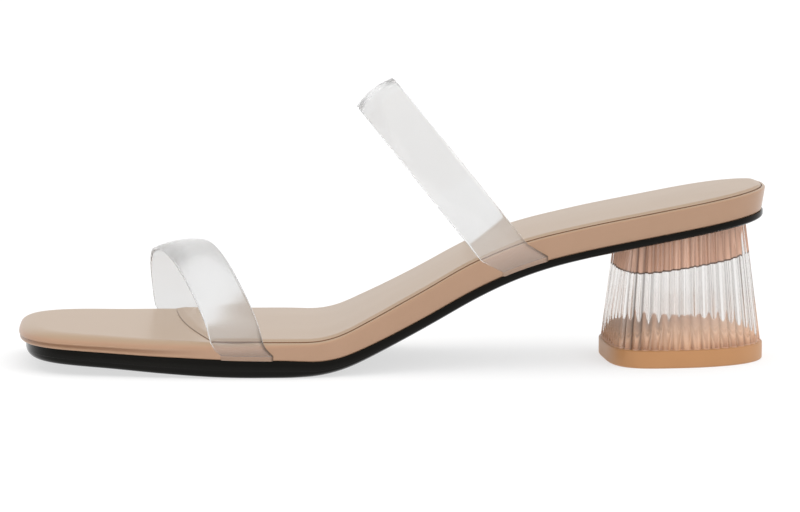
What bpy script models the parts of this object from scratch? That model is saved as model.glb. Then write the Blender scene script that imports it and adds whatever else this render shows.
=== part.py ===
"""Two-strap slide sandal on a clear block heel: one left shoe, standing on the floor.

Metres, +Z up. The toe points along -X, the outer side of the foot faces -Y, and the origin lies on
the floor under the middle of the shoe.
"""
import math

import bmesh
import bpy
import numpy as np
from mathutils import Vector

# Overall sizes of the shoe
LENGTH = 0.240
BALL_WIDTH = 0.080
HEEL_RISE = 0.0467
TOE_SPRING = 0.0036
JOINT_GAP = 0.0003

# Ends of the sole: how far back the rounding reaches and how square it is.
# The toe's tip lies towards the inner side of the foot.
TOE_ROUND = 0.034
TOE_TIP_SIDE = 0.014
TOE_OUTER_SQUARENESS = 3.5
TOE_INNER_SQUARENESS = 2.4
SEAT_ROUND = 0.031
SEAT_SQUARENESS = 2.5

# Outsole: thickness at the ball, and the bevel that its lower edge has, widest at the waist
OUTSOLE_BALL = 0.0059
OUTSOLE_INSET = 0.0006
OUTSOLE_TOE_INSET = 0.0016
OUTSOLE_BEVEL = 0.0080
OUTSOLE_BEVEL_SHARE = 0.40
OUTSOLE_TOP_EDGE = 0.0002

# Footbed: thickness at the heel seat, slope of its wall and the soft edge round its top
FOOTBED_SEAT = 0.0074
WALL_SLOPE = 0.16
SOFT_EDGE_IN = 0.0069
SOFT_EDGE_DOWN = 0.0030

# Insole sock
SOCK_THICK = 0.0009
SOCK_MARGIN = 0.0004
SOCK_FRONT = 0.0501
SOCK_SKEW = 0.0148
SOCK_EDGE = 0.0003

# Straps: what both share, and how far each end is tucked under the footbed
STRAP_THICK = 0.0014
STRAP_TUCK = 0.0065
STRAP_BEND = 0.0003
SLOT_HEADROOM = 0.00036
SLOT_OUTSIDE = 0.004
SLOT_BELOW = 0.002

# Front strap over the toes
FRONT_STRAP_WIDTH = 0.0157
FRONT_STRAP_PLACE = 0.0607
FRONT_STRAP_HEIGHT = 0.0243
FRONT_STRAP_PITCH = 9.0
FRONT_STRAP_SKEW = 13.5
FRONT_STRAP_RUN = 0.0030

# Rear strap over the instep
REAR_STRAP_WIDTH = 0.0147
REAR_STRAP_PLACE = 0.1532
REAR_STRAP_HEIGHT = 0.0614
REAR_STRAP_PITCH = 38.5
REAR_STRAP_SKEW = 3.0
REAR_STRAP_RUN = 0.0068

# Heel block, its pocket and its top lift
HEEL_TOP_LENGTH = 0.0410
HEEL_TOP_WIDTH = 0.0430
HEEL_FOOT_LENGTH = 0.0505
HEEL_FOOT_WIDTH = 0.0455
HEEL_TOP_BACK = 0.0060
HEEL_YAW = 5.0
HEEL_OFFSET = 0.0010
HEEL_FRONT_SHARE = 0.36
HEEL_FRONT_SQUARENESS = 3.4
HEEL_BACK_SQUARENESS = 2.2
FLUTE_COUNT = 46
FLUTE_DEPTH = 0.0013
FLUTE_STEPS = 4
HEEL_RIM = 0.0060
POCKET_DEPTH = 0.0090
POCKET_DROP = 0.0024
LIFT_HEIGHT = 0.0056
LIFT_MARGIN = 0.0006
LIFT_EDGE = 0.0007

# Fineness of the meshes
END_STATIONS = 12
MIDDLE_STATIONS = 34
BEVEL_TURNS = (0.0, 30.0, 60.0, 90.0)
SOFT_EDGE_TURNS = (0.0, 22.5, 45.0, 67.5, 90.0)
BEND_TURNS = (0.0, 22.5, 45.0, 67.5, 90.0)
LIFT_EDGE_TURNS = (0.0, 45.0, 90.0)
SOCK_ROWS = 42
SOCK_COLUMNS = 8
SOCK_EVEN_SHARE = 0.7
STRAP_ARCH_STEPS = 34
STRAP_CROSS_STEPS = 3
SLOT_STEPS = 4
TILT_REACH = 0.004
SAME_POINT = 1e-7
SMOOTH_ANGLE = 30.0
SETTLE_ROUNDS = 40

# Plan of the sole: place along the length, outer and inner half width as shares of the ball width
PLAN_COLUMNS = ("place", "outer", "inner")
PLAN = (
    (0.00, 0.400, 0.405),
    (0.11, 0.420, 0.432),
    (0.19, 0.465, 0.478),
    (0.28, 0.495, 0.500),
    (0.36, 0.500, 0.480),
    (0.44, 0.452, 0.405),
    (0.52, 0.388, 0.350),
    (0.60, 0.350, 0.332),
    (0.70, 0.335, 0.335),
    (0.80, 0.336, 0.346),
    (0.90, 0.333, 0.345),
    (1.00, 0.328, 0.338),
)

# Steepness of the underside behind the ball, as shares of its steepest slope
CLIMB_COLUMNS = ("place", "steepness")
CLIMB = (
    (0.385, 0.00),
    (0.420, 0.42),
    (0.455, 0.84),
    (0.500, 0.98),
    (0.540, 1.04),
    (0.580, 1.10),
    (0.620, 0.98),
    (0.680, 0.72),
    (0.740, 0.49),
    (0.800, 0.40),
    (0.880, 0.38),
    (1.000, 0.33),
)

# Where the toe spring ends, as a share of the length
SPRING_END = 0.32

# Thicknesses along the sole: outsole as a share of its ball and footbed as a share of its seat,
# then the shares of the outsole's bevel and of the two reaches of the footbed's soft edge
THICKNESS_COLUMNS = ("place", "outsole", "footbed", "bevel", "edge_in", "edge_down")
THICKNESS = (
    (0.00, 0.86, 0.64, 0.30, 1.00, 1.00),
    (0.12, 0.88, 0.66, 0.28, 0.82, 0.94),
    (0.26, 1.00, 0.70, 0.25, 0.46, 0.78),
    (0.35, 0.97, 0.74, 0.30, 0.26, 0.48),
    (0.43, 0.76, 0.90, 0.80, 0.16, 0.29),
    (0.52, 0.62, 1.02, 1.00, 0.13, 0.24),
    (0.62, 0.58, 1.04, 1.00, 0.12, 0.22),
    (0.74, 0.47, 1.00, 0.60, 0.12, 0.22),
    (0.86, 0.44, 1.00, 0.35, 0.12, 0.22),
    (1.00, 0.44, 1.00, 0.35, 0.12, 0.22),
)

# Arches of the straps from the outer to the inner side: share across, share of the strap's height
ARCH_COLUMNS = ("across", "height")
FRONT_ARCH = (
    (0.040, 0.22),
    (0.130, 0.44),
    (0.245, 0.64),
    (0.375, 0.82),
    (0.510, 0.94),
    (0.650, 1.00),
    (0.790, 0.985),
    (0.895, 0.89),
    (0.965, 0.66),
    (1.000, 0.33),
)
REAR_ARCH = (
    (-0.005, 0.14),
    (0.005, 0.33),
    (0.050, 0.53),
    (0.140, 0.74),
    (0.270, 0.90),
    (0.430, 0.985),
    (0.590, 1.00),
    (0.740, 0.93),
    (0.880, 0.76),
    (0.970, 0.54),
    (1.015, 0.33),
    (1.015, 0.14),
)

# Colours as linear red, green, blue, with roughness
OUTSOLE_LOOK = ((0.006, 0.006, 0.005), 0.22)
FOOTBED_LOOK = ((0.50, 0.30, 0.20), 0.48)
SOCK_LOOK = ((0.60, 0.45, 0.35), 0.50)
STRAP_LOOK = ((0.90, 0.91, 0.90), 0.10)
HEEL_LOOK = ((0.92, 0.91, 0.89), 0.05)
INSERT_LOOK = ((0.45, 0.25, 0.17), 0.40)
LIFT_LOOK = ((0.42, 0.23, 0.12), 0.42)


def clear_scene():
    for old in list(bpy.data.objects):
        bpy.data.objects.remove(old, do_unlink=True)


def column(table, columns, name):
    index = columns.index(name)
    return [row[index] for row in table]


def smooth_curve(places, values):
    """Return a smooth function through the rows that never swings past them."""
    x = np.array(places, float)
    y = np.array(values, float)
    step = np.diff(x)
    slope = np.diff(y) / step
    tangent = np.zeros(len(x))
    tangent[0] = slope[0]
    tangent[-1] = slope[-1]
    for i in range(1, len(x) - 1):
        if slope[i - 1] * slope[i] > 0.0:
            before = 2.0 * step[i] + step[i - 1]
            after = step[i] + 2.0 * step[i - 1]
            tangent[i] = (before + after) / (before / slope[i - 1] + after / slope[i])

    def at(place):
        p = min(max(place, x[0]), x[-1])
        i = min(int(np.searchsorted(x, p, side="right")) - 1, len(x) - 2)
        t = (p - x[i]) / step[i]
        first = (1.0 + 2.0 * t) * (1.0 - t) ** 2 * y[i] + t * t * (3.0 - 2.0 * t) * y[i + 1]
        return first + step[i] * (t * (1.0 - t) ** 2 * tangent[i] - t * t * (1.0 - t) * tangent[i + 1])

    return at


outer_share = smooth_curve(column(PLAN, PLAN_COLUMNS, "place"), column(PLAN, PLAN_COLUMNS, "outer"))
inner_share = smooth_curve(column(PLAN, PLAN_COLUMNS, "place"), column(PLAN, PLAN_COLUMNS, "inner"))
climb_share = smooth_curve(column(CLIMB, CLIMB_COLUMNS, "place"), column(CLIMB, CLIMB_COLUMNS, "steepness"))
outsole_share = smooth_curve(
    column(THICKNESS, THICKNESS_COLUMNS, "place"), column(THICKNESS, THICKNESS_COLUMNS, "outsole"))
footbed_share = smooth_curve(
    column(THICKNESS, THICKNESS_COLUMNS, "place"), column(THICKNESS, THICKNESS_COLUMNS, "footbed"))
bevel_share = smooth_curve(
    column(THICKNESS, THICKNESS_COLUMNS, "place"), column(THICKNESS, THICKNESS_COLUMNS, "bevel"))
edge_in_share = smooth_curve(
    column(THICKNESS, THICKNESS_COLUMNS, "place"), column(THICKNESS, THICKNESS_COLUMNS, "edge_in"))
edge_down_share = smooth_curve(
    column(THICKNESS, THICKNESS_COLUMNS, "place"), column(THICKNESS, THICKNESS_COLUMNS, "edge_down"))


def climb_table(steps=600):
    """Add up the slope behind the ball, so that the underside ends HEEL_RISE above the floor."""
    start = CLIMB[0][0]
    shares = np.linspace(start, 1.0, steps + 1)
    steepness = np.array([climb_share(s) for s in shares])
    parts = 0.5 * (steepness[1:] + steepness[:-1]) * np.diff(shares)
    total = np.concatenate([[0.0], np.cumsum(parts)])
    return shares, HEEL_RISE * total / total[-1]


CLIMB_PLACES, CLIMB_HEIGHTS = climb_table()


def underside(x):
    """Height of the outsole's underside at x, measured back from the tip of the toe."""
    share = x / LENGTH
    if share < SPRING_END:
        t = min((SPRING_END - share) / SPRING_END, 1.0)
        return TOE_SPRING * t * t * (3.0 - 2.0 * t)
    if share > 1.0:
        last = (CLIMB_HEIGHTS[-1] - CLIMB_HEIGHTS[-2]) / (CLIMB_PLACES[-1] - CLIMB_PLACES[-2])
        return float(CLIMB_HEIGHTS[-1] + last * (share - 1.0))
    return float(np.interp(share, CLIMB_PLACES, CLIMB_HEIGHTS, left=0.0))


def tilt(x):
    """Cosine of the underside's slope at x, which turns a thickness into a height."""
    rise = underside(x + TILT_REACH) - underside(x - TILT_REACH)
    return 2.0 * TILT_REACH / math.hypot(2.0 * TILT_REACH, rise)


def sole_height(x, up):
    """Height of a point that lies `up` above the underside, square to it."""
    return underside(x) + up / tilt(x)


def outsole_thick(x):
    return OUTSOLE_BALL * outsole_share(x / LENGTH)


def footbed_thick(x):
    return FOOTBED_SEAT * footbed_share(x / LENGTH)


def bevel_in(x):
    """How far in from the outsole's side its bevel reaches underneath."""
    return OUTSOLE_BEVEL * bevel_share(x / LENGTH)


def bevel_up(x):
    """How high up the outsole's side its bevel reaches."""
    return OUTSOLE_BEVEL_SHARE * outsole_thick(x)


def soft_in(x):
    """How far in from the wall the footbed's soft edge reaches."""
    return SOFT_EDGE_IN * edge_in_share(x / LENGTH)


def soft_down(x):
    """How far the footbed's soft edge falls from the flat top to the wall."""
    return SOFT_EDGE_DOWN * edge_down_share(x / LENGTH)


def wall_lean(x):
    """How far the footbed's wall leans in between its soft edge and its foot."""
    return WALL_SLOPE * (footbed_thick(x) - soft_down(x))


def end_rounding(x, side):
    """Share of the half width that is left close to the toe and to the back of the seat."""
    keep = 1.0
    if x < TOE_ROUND:
        t = min((TOE_ROUND - x) / TOE_ROUND, 1.0)
        power = TOE_OUTER_SQUARENESS if side < 0 else TOE_INNER_SQUARENESS
        keep *= (1.0 - t ** power) ** (1.0 / power)
    if x > LENGTH - SEAT_ROUND:
        t = min((x - LENGTH + SEAT_ROUND) / SEAT_ROUND, 1.0)
        keep *= (1.0 - t ** SEAT_SQUARENESS) ** (1.0 / SEAT_SQUARENESS)
    return keep


def half_width(x, side):
    """Half width of the sole at x on the outer side (-1) or the inner side (+1)."""
    share = outer_share(x / LENGTH) if side < 0 else inner_share(x / LENGTH)
    tip = side * TOE_TIP_SIDE if x < TOE_ROUND else 0.0
    return tip + (BALL_WIDTH * share - tip) * end_rounding(x, side)


def rounded_stations():
    """Places from toe tip to seat end, with quarter-circle spacing in the two rounded ends."""
    quarter = [0.5 * math.pi * i / END_STATIONS for i in range(END_STATIONS + 1)]
    toe = [TOE_ROUND * (1.0 - math.cos(a)) for a in quarter[:-1]]
    back = LENGTH - SEAT_ROUND
    middle = [TOE_ROUND + (back - TOE_ROUND) * i / MIDDLE_STATIONS for i in range(MIDDLE_STATIONS)]
    seat = [back + SEAT_ROUND * math.sin(a) for a in quarter]
    return toe + middle + seat


def plan_ring(places):
    """Closed outline: toe tip, outer side back to the seat end, then the inner side forward."""
    ring = [(places[0], TOE_TIP_SIDE)]
    ring += [(x, -half_width(x, -1)) for x in places[1:-1]]
    ring += [(places[-1], 0.0)]
    ring += [(x, half_width(x, 1)) for x in reversed(places[1:-1])]
    return ring


def inset_ring(ring, amount):
    """Move each point of a closed outline inwards, square to the outline, by amount(x)."""
    count = len(ring)
    moved = []
    for i, (x, y) in enumerate(ring):
        before = ring[i - 1]
        after = ring[(i + 1) % count]
        dx = after[0] - before[0]
        dy = after[1] - before[1]
        size = math.hypot(dx, dy)
        step = amount(x)
        moved.append((x - step * dy / size, y + step * dx / size))
    return moved


def to_world(x, y, z):
    return (x - 0.5 * LENGTH, y, z)


def new_object(name, vertices, faces, look):
    mesh = bpy.data.meshes.new(name)
    mesh.from_pydata([Vector(v) for v in vertices], [], faces)
    form = bmesh.new()
    form.from_mesh(mesh)
    bmesh.ops.remove_doubles(form, verts=form.verts, dist=SAME_POINT)
    bmesh.ops.recalc_face_normals(form, faces=form.faces)
    bmesh.ops.triangulate(form, faces=form.faces)
    form.to_mesh(mesh)
    form.free()
    mesh.shade_smooth()
    mesh.set_sharp_from_angle(angle=math.radians(SMOOTH_ANGLE))
    made = bpy.data.objects.new(name, mesh)
    bpy.context.scene.collection.objects.link(made)
    colour, roughness = look
    material = bpy.data.materials.new(name)
    material.use_nodes = True
    shader = material.node_tree.nodes["Principled BSDF"]
    shader.inputs["Base Color"].default_value = (*colour, 1.0)
    shader.inputs["Roughness"].default_value = roughness
    shader.inputs["Metallic"].default_value = 0.0
    mesh.materials.append(material)
    return made


def cut(target, cutter):
    """Take the cutter's form out of the target."""
    cutter.hide_render = True
    cutter.display_type = "WIRE"
    change = target.modifiers.new(cutter.name, "BOOLEAN")
    change.operation = "DIFFERENCE"
    change.solver = "EXACT"
    change.object = cutter


def stacked_rings(rings, bottom_fill, top_fill):
    """Vertices and faces of a closed body from rings of equal length, bottom first."""
    vertices = []
    faces = []
    size = len(rings[0])
    for ring in rings:
        vertices += ring
    for level in range(len(rings) - 1):
        low = level * size
        high = low + size
        for i in range(size):
            j = (i + 1) % size
            faces.append((low + i, low + j, high + j, high + i))
    bottom_fill(vertices, faces, 0, size)
    top_fill(vertices, faces, (len(rings) - 1) * size, size)
    return vertices, faces


def ladder_fill(vertices, faces, start, size):
    """Close a sole ring with rungs from its outer side to its inner side."""
    half = size // 2
    for i in range(half):
        left = start + i
        left_next = start + i + 1
        right = start + (size - i) % size
        right_next = start + size - i - 1
        corners = [left, left_next, right_next, right]
        kept = []
        for corner in corners:
            if corner not in kept:
                kept.append(corner)
        faces.append(tuple(kept))


def hub_fill(vertices, faces, start, size):
    """Close a ring with triangles to a point in its middle."""
    ring = vertices[start:start + size]
    middle = tuple(sum(v[k] for v in ring) / size for k in range(3))
    vertices.append(middle)
    hub = len(vertices) - 1
    for i in range(size):
        faces.append((start + i, start + (i + 1) % size, hub))


def raised(ring, up):
    """Lift a plan ring to `up`(x) above the underside."""
    return [to_world(x, y, sole_height(x, up(x))) for x, y in ring]


def make_outsole(plan):
    """Black outsole: thick under the forefoot, thin at the seat, bevelled along its lower edge."""
    def inset(x):
        toe = max(1.0 - x / TOE_ROUND, 0.0)
        return OUTSOLE_INSET + OUTSOLE_TOE_INSET * toe * toe

    rings = []
    for degrees in BEVEL_TURNS:
        turn = math.radians(degrees)
        ring = inset_ring(plan, lambda x: inset(x) + bevel_in(x) * (1.0 - math.sin(turn)))
        rings.append(raised(ring, lambda x: bevel_up(x) * (1.0 - math.cos(turn))))
    top = JOINT_GAP + OUTSOLE_TOP_EDGE
    rings.append(raised(inset_ring(plan, inset), lambda x: outsole_thick(x) - top))
    ring = inset_ring(plan, lambda x: inset(x) + OUTSOLE_TOP_EDGE)
    rings.append(raised(ring, lambda x: outsole_thick(x) - JOINT_GAP))
    vertices, faces = stacked_rings(rings, ladder_fill, ladder_fill)
    return new_object("outsole", vertices, faces, OUTSOLE_LOOK)


def make_footbed(plan):
    """Leather-wrapped footbed: a wall that leans out to a soft rounded top edge."""
    rings = [raised(inset_ring(plan, wall_lean), outsole_thick)]
    for degrees in SOFT_EDGE_TURNS:
        turn = math.radians(degrees)
        ring = inset_ring(plan, lambda x: soft_in(x) * (1.0 - math.cos(turn)))
        rings.append(raised(
            ring, lambda x: outsole_thick(x) + footbed_thick(x) - soft_down(x) * (1.0 - math.sin(turn))))
    vertices, faces = stacked_rings(rings, ladder_fill, ladder_fill)
    return new_object("footbed", vertices, faces, FOOTBED_LOOK)


def sock_front(y):
    """Front end of the sock: a curve that runs back towards the outer side."""
    t = (0.5 * BALL_WIDTH - y) / BALL_WIDTH
    return SOCK_FRONT + SOCK_SKEW * t * t


def sock_spacing(t):
    """Even steps along the sock, which close up towards its rounded back end."""
    if t < SOCK_EVEN_SHARE:
        return t
    rest = 1.0 - SOCK_EVEN_SHARE
    return SOCK_EVEN_SHARE + rest * math.sin(0.5 * math.pi * (t - SOCK_EVEN_SHARE) / rest)


def make_sock():
    """Thin sock on the footbed, from under the front strap to the back of the seat."""
    inset = [SOCK_MARGIN + SOCK_EDGE, SOCK_MARGIN, SOCK_MARGIN + SOCK_EDGE]
    lifts = [JOINT_GAP, JOINT_GAP + 0.5 * SOCK_THICK, JOINT_GAP + SOCK_THICK]
    end = LENGTH - soft_in(LENGTH) - SOCK_MARGIN
    grids = []
    for extra, lift in zip(inset, lifts):
        grid = []
        for i in range(SOCK_ROWS + 1):
            along = sock_spacing(i / SOCK_ROWS)
            line = []
            for j in range(SOCK_COLUMNS + 1):
                v = -1.0 + 2.0 * j / SOCK_COLUMNS
                side = -1 if v < 0 else 1
                guess = SOCK_FRONT + (LENGTH - SOCK_FRONT) * along
                width = max(half_width(guess, side) - soft_in(guess) - extra, 0.0)
                front = sock_front(v * width) + extra - SOCK_MARGIN
                back = end - (extra - SOCK_MARGIN)
                x = front + (back - front) * along
                width = max(sock_half_width(x, side, back) - extra, 0.0)
                y = v * width
                base = outsole_thick(x) + footbed_thick(x)
                line.append(to_world(x, y, sole_height(x, base + lift)))
            grid.append(line)
        grids.append(grid)
    vertices, faces = grid_body(grids)
    return new_object("insole_sock", vertices, faces, SOCK_LOOK)


def sock_half_width(x, side, back):
    """Half width of the footbed's flat top, closing at `back`."""
    keep = min(max((back - x) / SEAT_ROUND, 0.0), 1.0)
    rounding = (1.0 - (1.0 - keep) ** SEAT_SQUARENESS) ** (1.0 / SEAT_SQUARENESS)
    share = outer_share(x / LENGTH) if side < 0 else inner_share(x / LENGTH)
    return (BALL_WIDTH * share - soft_in(x)) * rounding


def grid_body(grids):
    """Closed body from a stack of equal grids: the first is its bottom and the last its top."""
    rows = len(grids[0])
    columns = len(grids[0][0])
    vertices = [v for grid in grids for line in grid for v in line]
    size = rows * columns

    def at(level, i, j):
        return level * size + i * columns + j

    faces = []
    top = len(grids) - 1
    for i in range(rows - 1):
        for j in range(columns - 1):
            faces.append((at(0, i, j), at(0, i, j + 1), at(0, i + 1, j + 1), at(0, i + 1, j)))
            faces.append((at(top, i, j), at(top, i + 1, j), at(top, i + 1, j + 1), at(top, i, j + 1)))
    rim = [(0, j) for j in range(columns)]
    rim += [(i, columns - 1) for i in range(1, rows)]
    rim += [(rows - 1, j) for j in range(columns - 2, -1, -1)]
    rim += [(i, 0) for i in range(rows - 2, 0, -1)]
    for level in range(top):
        for k, (i, j) in enumerate(rim):
            m, n = rim[(k + 1) % len(rim)]
            faces.append((at(level, i, j), at(level, m, n), at(level + 1, m, n), at(level + 1, i, j)))
    return vertices, faces


def spline_points(points, steps):
    """Smooth curve through all points but the first and last, which only give its end directions."""
    p = [np.array(q, float) for q in points]
    knots = [0.0]
    for a, b in zip(p, p[1:]):
        knots.append(knots[-1] + math.sqrt(max(np.linalg.norm(b - a), 1e-9)))
    span = knots[-2] - knots[1]
    out = []
    for n in range(steps + 1):
        t = knots[1] + span * n / steps
        i = 1
        while i < len(p) - 3 and t > knots[i + 1]:
            i += 1
        t0, t1, t2, t3 = knots[i - 1:i + 3]
        a1 = (t1 - t) / (t1 - t0) * p[i - 1] + (t - t0) / (t1 - t0) * p[i]
        a2 = (t2 - t) / (t2 - t1) * p[i] + (t - t1) / (t2 - t1) * p[i + 1]
        a3 = (t3 - t) / (t3 - t2) * p[i + 1] + (t - t2) / (t3 - t2) * p[i + 2]
        b1 = (t2 - t) / (t2 - t0) * a1 + (t - t0) / (t2 - t0) * a2
        b2 = (t3 - t) / (t3 - t1) * a2 + (t - t1) / (t3 - t1) * a3
        out.append((t2 - t) / (t2 - t1) * b1 + (t - t1) / (t2 - t1) * b2)
    return out


def strap_axes(pitch, skew):
    """Directions across the band, along its arch, and up its arch."""
    b = math.radians(pitch)
    s = math.radians(skew)
    across = np.array([math.cos(b) * math.cos(s), math.cos(b) * math.sin(s), math.sin(b)])
    along = np.array([-math.sin(s), math.cos(s), 0.0])
    up = np.cross(across, along)
    return across, along, up


def wall_point(plane_point, along, up, side, clear):
    """Where the plane of the arch meets the top edge of the footbed, `clear` outside its wall."""
    y = side * half_width(plane_point[0], side)
    z = 0.0
    for _ in range(SETTLE_ROUNDS):
        p = plane_point + along * y + up * z
        goal_y = side * (half_width(p[0], side) + clear)
        goal_z = sole_height(p[0], outsole_thick(p[0]) + footbed_thick(p[0]))
        y += (goal_y - p[1]) / along[1]
        z += (goal_z - p[2]) / up[2]
    return plane_point + along * y + up * z


def wall_foot(top, side, run, clear):
    """Where the band reaches the bottom of the footbed's wall, `run` further back."""
    x = top[0] + run
    lean = max(wall_lean(x) - WALL_SLOPE * (STRAP_BEND + STRAP_THICK), 0.0)
    y = side * (half_width(x, side) - lean + clear)
    return np.array([x, y, sole_height(x, outsole_thick(x))])


def wall_side(top, side, run, clear):
    """Where the band passes the widest line of the wall, just below its soft edge."""
    x = top[0] + run * soft_down(top[0]) / footbed_thick(top[0])
    y = side * (half_width(x, side) + clear)
    return np.array([x, y, sole_height(x, outsole_thick(x) + footbed_thick(x) - soft_down(x))])


def strap_end(top, side, run):
    """Band's middle line from the tucked end round the wall's bottom edge, up to the wall's top."""
    middle = JOINT_GAP + 0.5 * STRAP_THICK
    foot = wall_foot(top, side, run, middle)
    bend = STRAP_BEND + 0.5 * STRAP_THICK
    inward = np.array([0.0, -side, 0.0])
    level = 0.5 * STRAP_THICK / tilt(foot[0])
    floor = foot + np.array([0.0, 0.0, level])
    points = [floor + inward * STRAP_TUCK]
    centre = floor + inward * bend + np.array([0.0, 0.0, bend])
    for degrees in BEND_TURNS:
        turn = math.radians(degrees)
        points.append(centre - inward * (bend * math.sin(turn)) - np.array([0, 0, bend * math.cos(turn)]))
    points.append(wall_side(top, side, run, middle))
    return points


def strap_line(place, offset, height, pitch, skew, run, arch):
    """Middle line of the band in one plane across it, from the outer to the inner tucked end."""
    across, along, up = strap_axes(pitch, skew)
    clear = JOINT_GAP + 0.5 * STRAP_THICK
    seat = np.array([place, 0.0, sole_height(place, outsole_thick(place) + footbed_thick(place))])
    plane_point = seat + across * offset
    outer_top = wall_point(plane_point, along, up, -1, clear)
    inner_top = wall_point(plane_point, along, up, 1, clear)
    outer_end = strap_end(outer_top, -1, run)
    inner_end = strap_end(inner_top, 1, run)
    y0 = float((outer_top - plane_point) @ along)
    y1 = float((inner_top - plane_point) @ along)
    z0 = float((outer_top - plane_point) @ up)
    z1 = float((inner_top - plane_point) @ up)
    rows = []
    for share, rise in arch:
        y = y0 + (y1 - y0) * share
        z = (z0 + (z1 - z0) * share) * (1.0 - rise) + height * rise
        rows.append(plane_point + along * y + up * z)
    chain = [outer_end[-1], outer_top] + rows + [inner_top, inner_end[-1]]
    arch_points = spline_points(chain, STRAP_ARCH_STEPS)
    return outer_end + arch_points + inner_end[::-1]


def strap_grid(place, width, height, pitch, skew, run, arch):
    lines = []
    for k in range(STRAP_CROSS_STEPS + 1):
        offset = width * (k / STRAP_CROSS_STEPS - 0.5)
        lines.append(strap_line(place, offset, height, pitch, skew, run, arch))
    return np.array(lines)


def band_normals(grid):
    """Outward direction of the band at each point of its middle surface."""
    along = np.gradient(grid, axis=1)
    across = np.gradient(grid, axis=0)
    normal = np.cross(along, across)
    normal /= np.linalg.norm(normal, axis=2, keepdims=True)
    crest = grid.shape[1] // 2
    if normal[0, crest, 2] < 0.0:
        normal = -normal
    return normal


def make_strap(name, place, width, height, pitch, skew, run, arch):
    """Clear band over the foot, tucked between footbed and outsole on both sides."""
    grid = strap_grid(place, width, height, pitch, skew, run, arch)
    normal = band_normals(grid)
    inner = grid - 0.5 * STRAP_THICK * normal
    outer = grid + 0.5 * STRAP_THICK * normal
    layers = []
    for layer in (inner, outer):
        layers.append([[to_world(*p) for p in line] for line in layer])
    vertices, faces = grid_body(layers)
    return new_object(name, vertices, faces, STRAP_LOOK)


def make_slot(name, place, width, height, pitch, skew, run, arch, side):
    """Cutter for the slot in the footbed's underside that takes one tucked strap end."""
    reach = 0.5 * width + JOINT_GAP
    layers = []
    for k in range(SLOT_STEPS + 1):
        offset = reach * (2.0 * k / SLOT_STEPS - 1.0)
        line = strap_line(place, offset, height, pitch, skew, run, arch)
        tip = line[0] if side < 0 else line[-1]
        x = tip[0]
        inner_y = tip[1] - side * JOINT_GAP
        outer_y = side * (half_width(x, side) + SLOT_OUTSIDE)
        ceiling = sole_height(x, outsole_thick(x) + STRAP_THICK + SLOT_HEADROOM)
        floor = sole_height(x, outsole_thick(x)) - SLOT_BELOW
        layers.append([
            [to_world(x, inner_y, floor), to_world(x, outer_y, floor)],
            [to_world(x, inner_y, ceiling), to_world(x, outer_y, ceiling)],
        ])
    vertices, faces = grid_body([
        [section[0] for section in layers],
        [section[1] for section in layers],
    ])
    return new_object(name, vertices, faces, STRAP_LOOK)


def heel_plan(length, width, flute, steps_around):
    """Outline of the heel round its own middle: flat front, round back, with or without flutes."""
    front = HEEL_FRONT_SHARE * length
    back = length - front
    ring = []
    for i in range(steps_around):
        a = 2.0 * math.pi * i / steps_around
        power = HEEL_BACK_SQUARENESS if math.cos(a) > 0 else HEEL_FRONT_SQUARENESS
        reach = back if math.cos(a) > 0 else front
        u = reach * math.copysign(abs(math.cos(a)) ** (2.0 / power), math.cos(a))
        v = 0.5 * width * math.copysign(abs(math.sin(a)) ** (2.0 / power), math.sin(a))
        ring.append((u + front - 0.5 * length, v))
    return even_ring(ring, steps_around, flute)


def even_ring(ring, count, flute):
    """Space the points evenly round the outline and press the valleys between round flutes into it."""
    p = np.array(ring + ring[:1])
    length = np.concatenate([[0.0], np.cumsum(np.linalg.norm(np.diff(p, axis=0), axis=1))])
    spaced = []
    for i in range(count):
        d = length[-1] * i / count
        spaced.append((float(np.interp(d, length, p[:, 0])), float(np.interp(d, length, p[:, 1]))))
    out = []
    for i, (u, v) in enumerate(spaced):
        before = spaced[i - 1]
        after = spaced[(i + 1) % count]
        du = after[0] - before[0]
        dv = after[1] - before[1]
        size = math.hypot(du, dv)
        phase = (i % FLUTE_STEPS) / FLUTE_STEPS
        depth = flute * (2.0 * phase - 1.0) ** 2
        out.append((u - depth * dv / size, v + depth * du / size))
    return out


def heel_place(point, back):
    """Turn an outline point by the heel's yaw; `back` is where the outline's rear end lies."""
    u, v = point
    a = math.radians(HEEL_YAW)
    x = back + u * math.cos(a) - v * math.sin(a)
    y = HEEL_OFFSET + u * math.sin(a) + v * math.cos(a)
    return x, y


def heel_level(length, width, middle, flute=0.0):
    """Outline of the heel as places on the shoe, round a middle that lies at `middle`."""
    count = FLUTE_COUNT * FLUTE_STEPS
    return [heel_place(p, middle) for p in heel_plan(length, width, flute, count)]


HEEL_FOOT_MIDDLE = LENGTH - LIFT_MARGIN - 0.5 * HEEL_FOOT_LENGTH
HEEL_TOP_MIDDLE = LENGTH - HEEL_TOP_BACK - 0.5 * HEEL_TOP_LENGTH


def seat_height(x, drop):
    """Height that lies `drop` below the underside of the heel seat."""
    return underside(x) - drop


def pocket_floor(x):
    """Height of the pocket's floor, which falls away from the seat towards the back."""
    back = (x - HEEL_TOP_MIDDLE) / HEEL_TOP_LENGTH + 0.5
    return seat_height(x, POCKET_DEPTH + POCKET_DROP * back)


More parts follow.
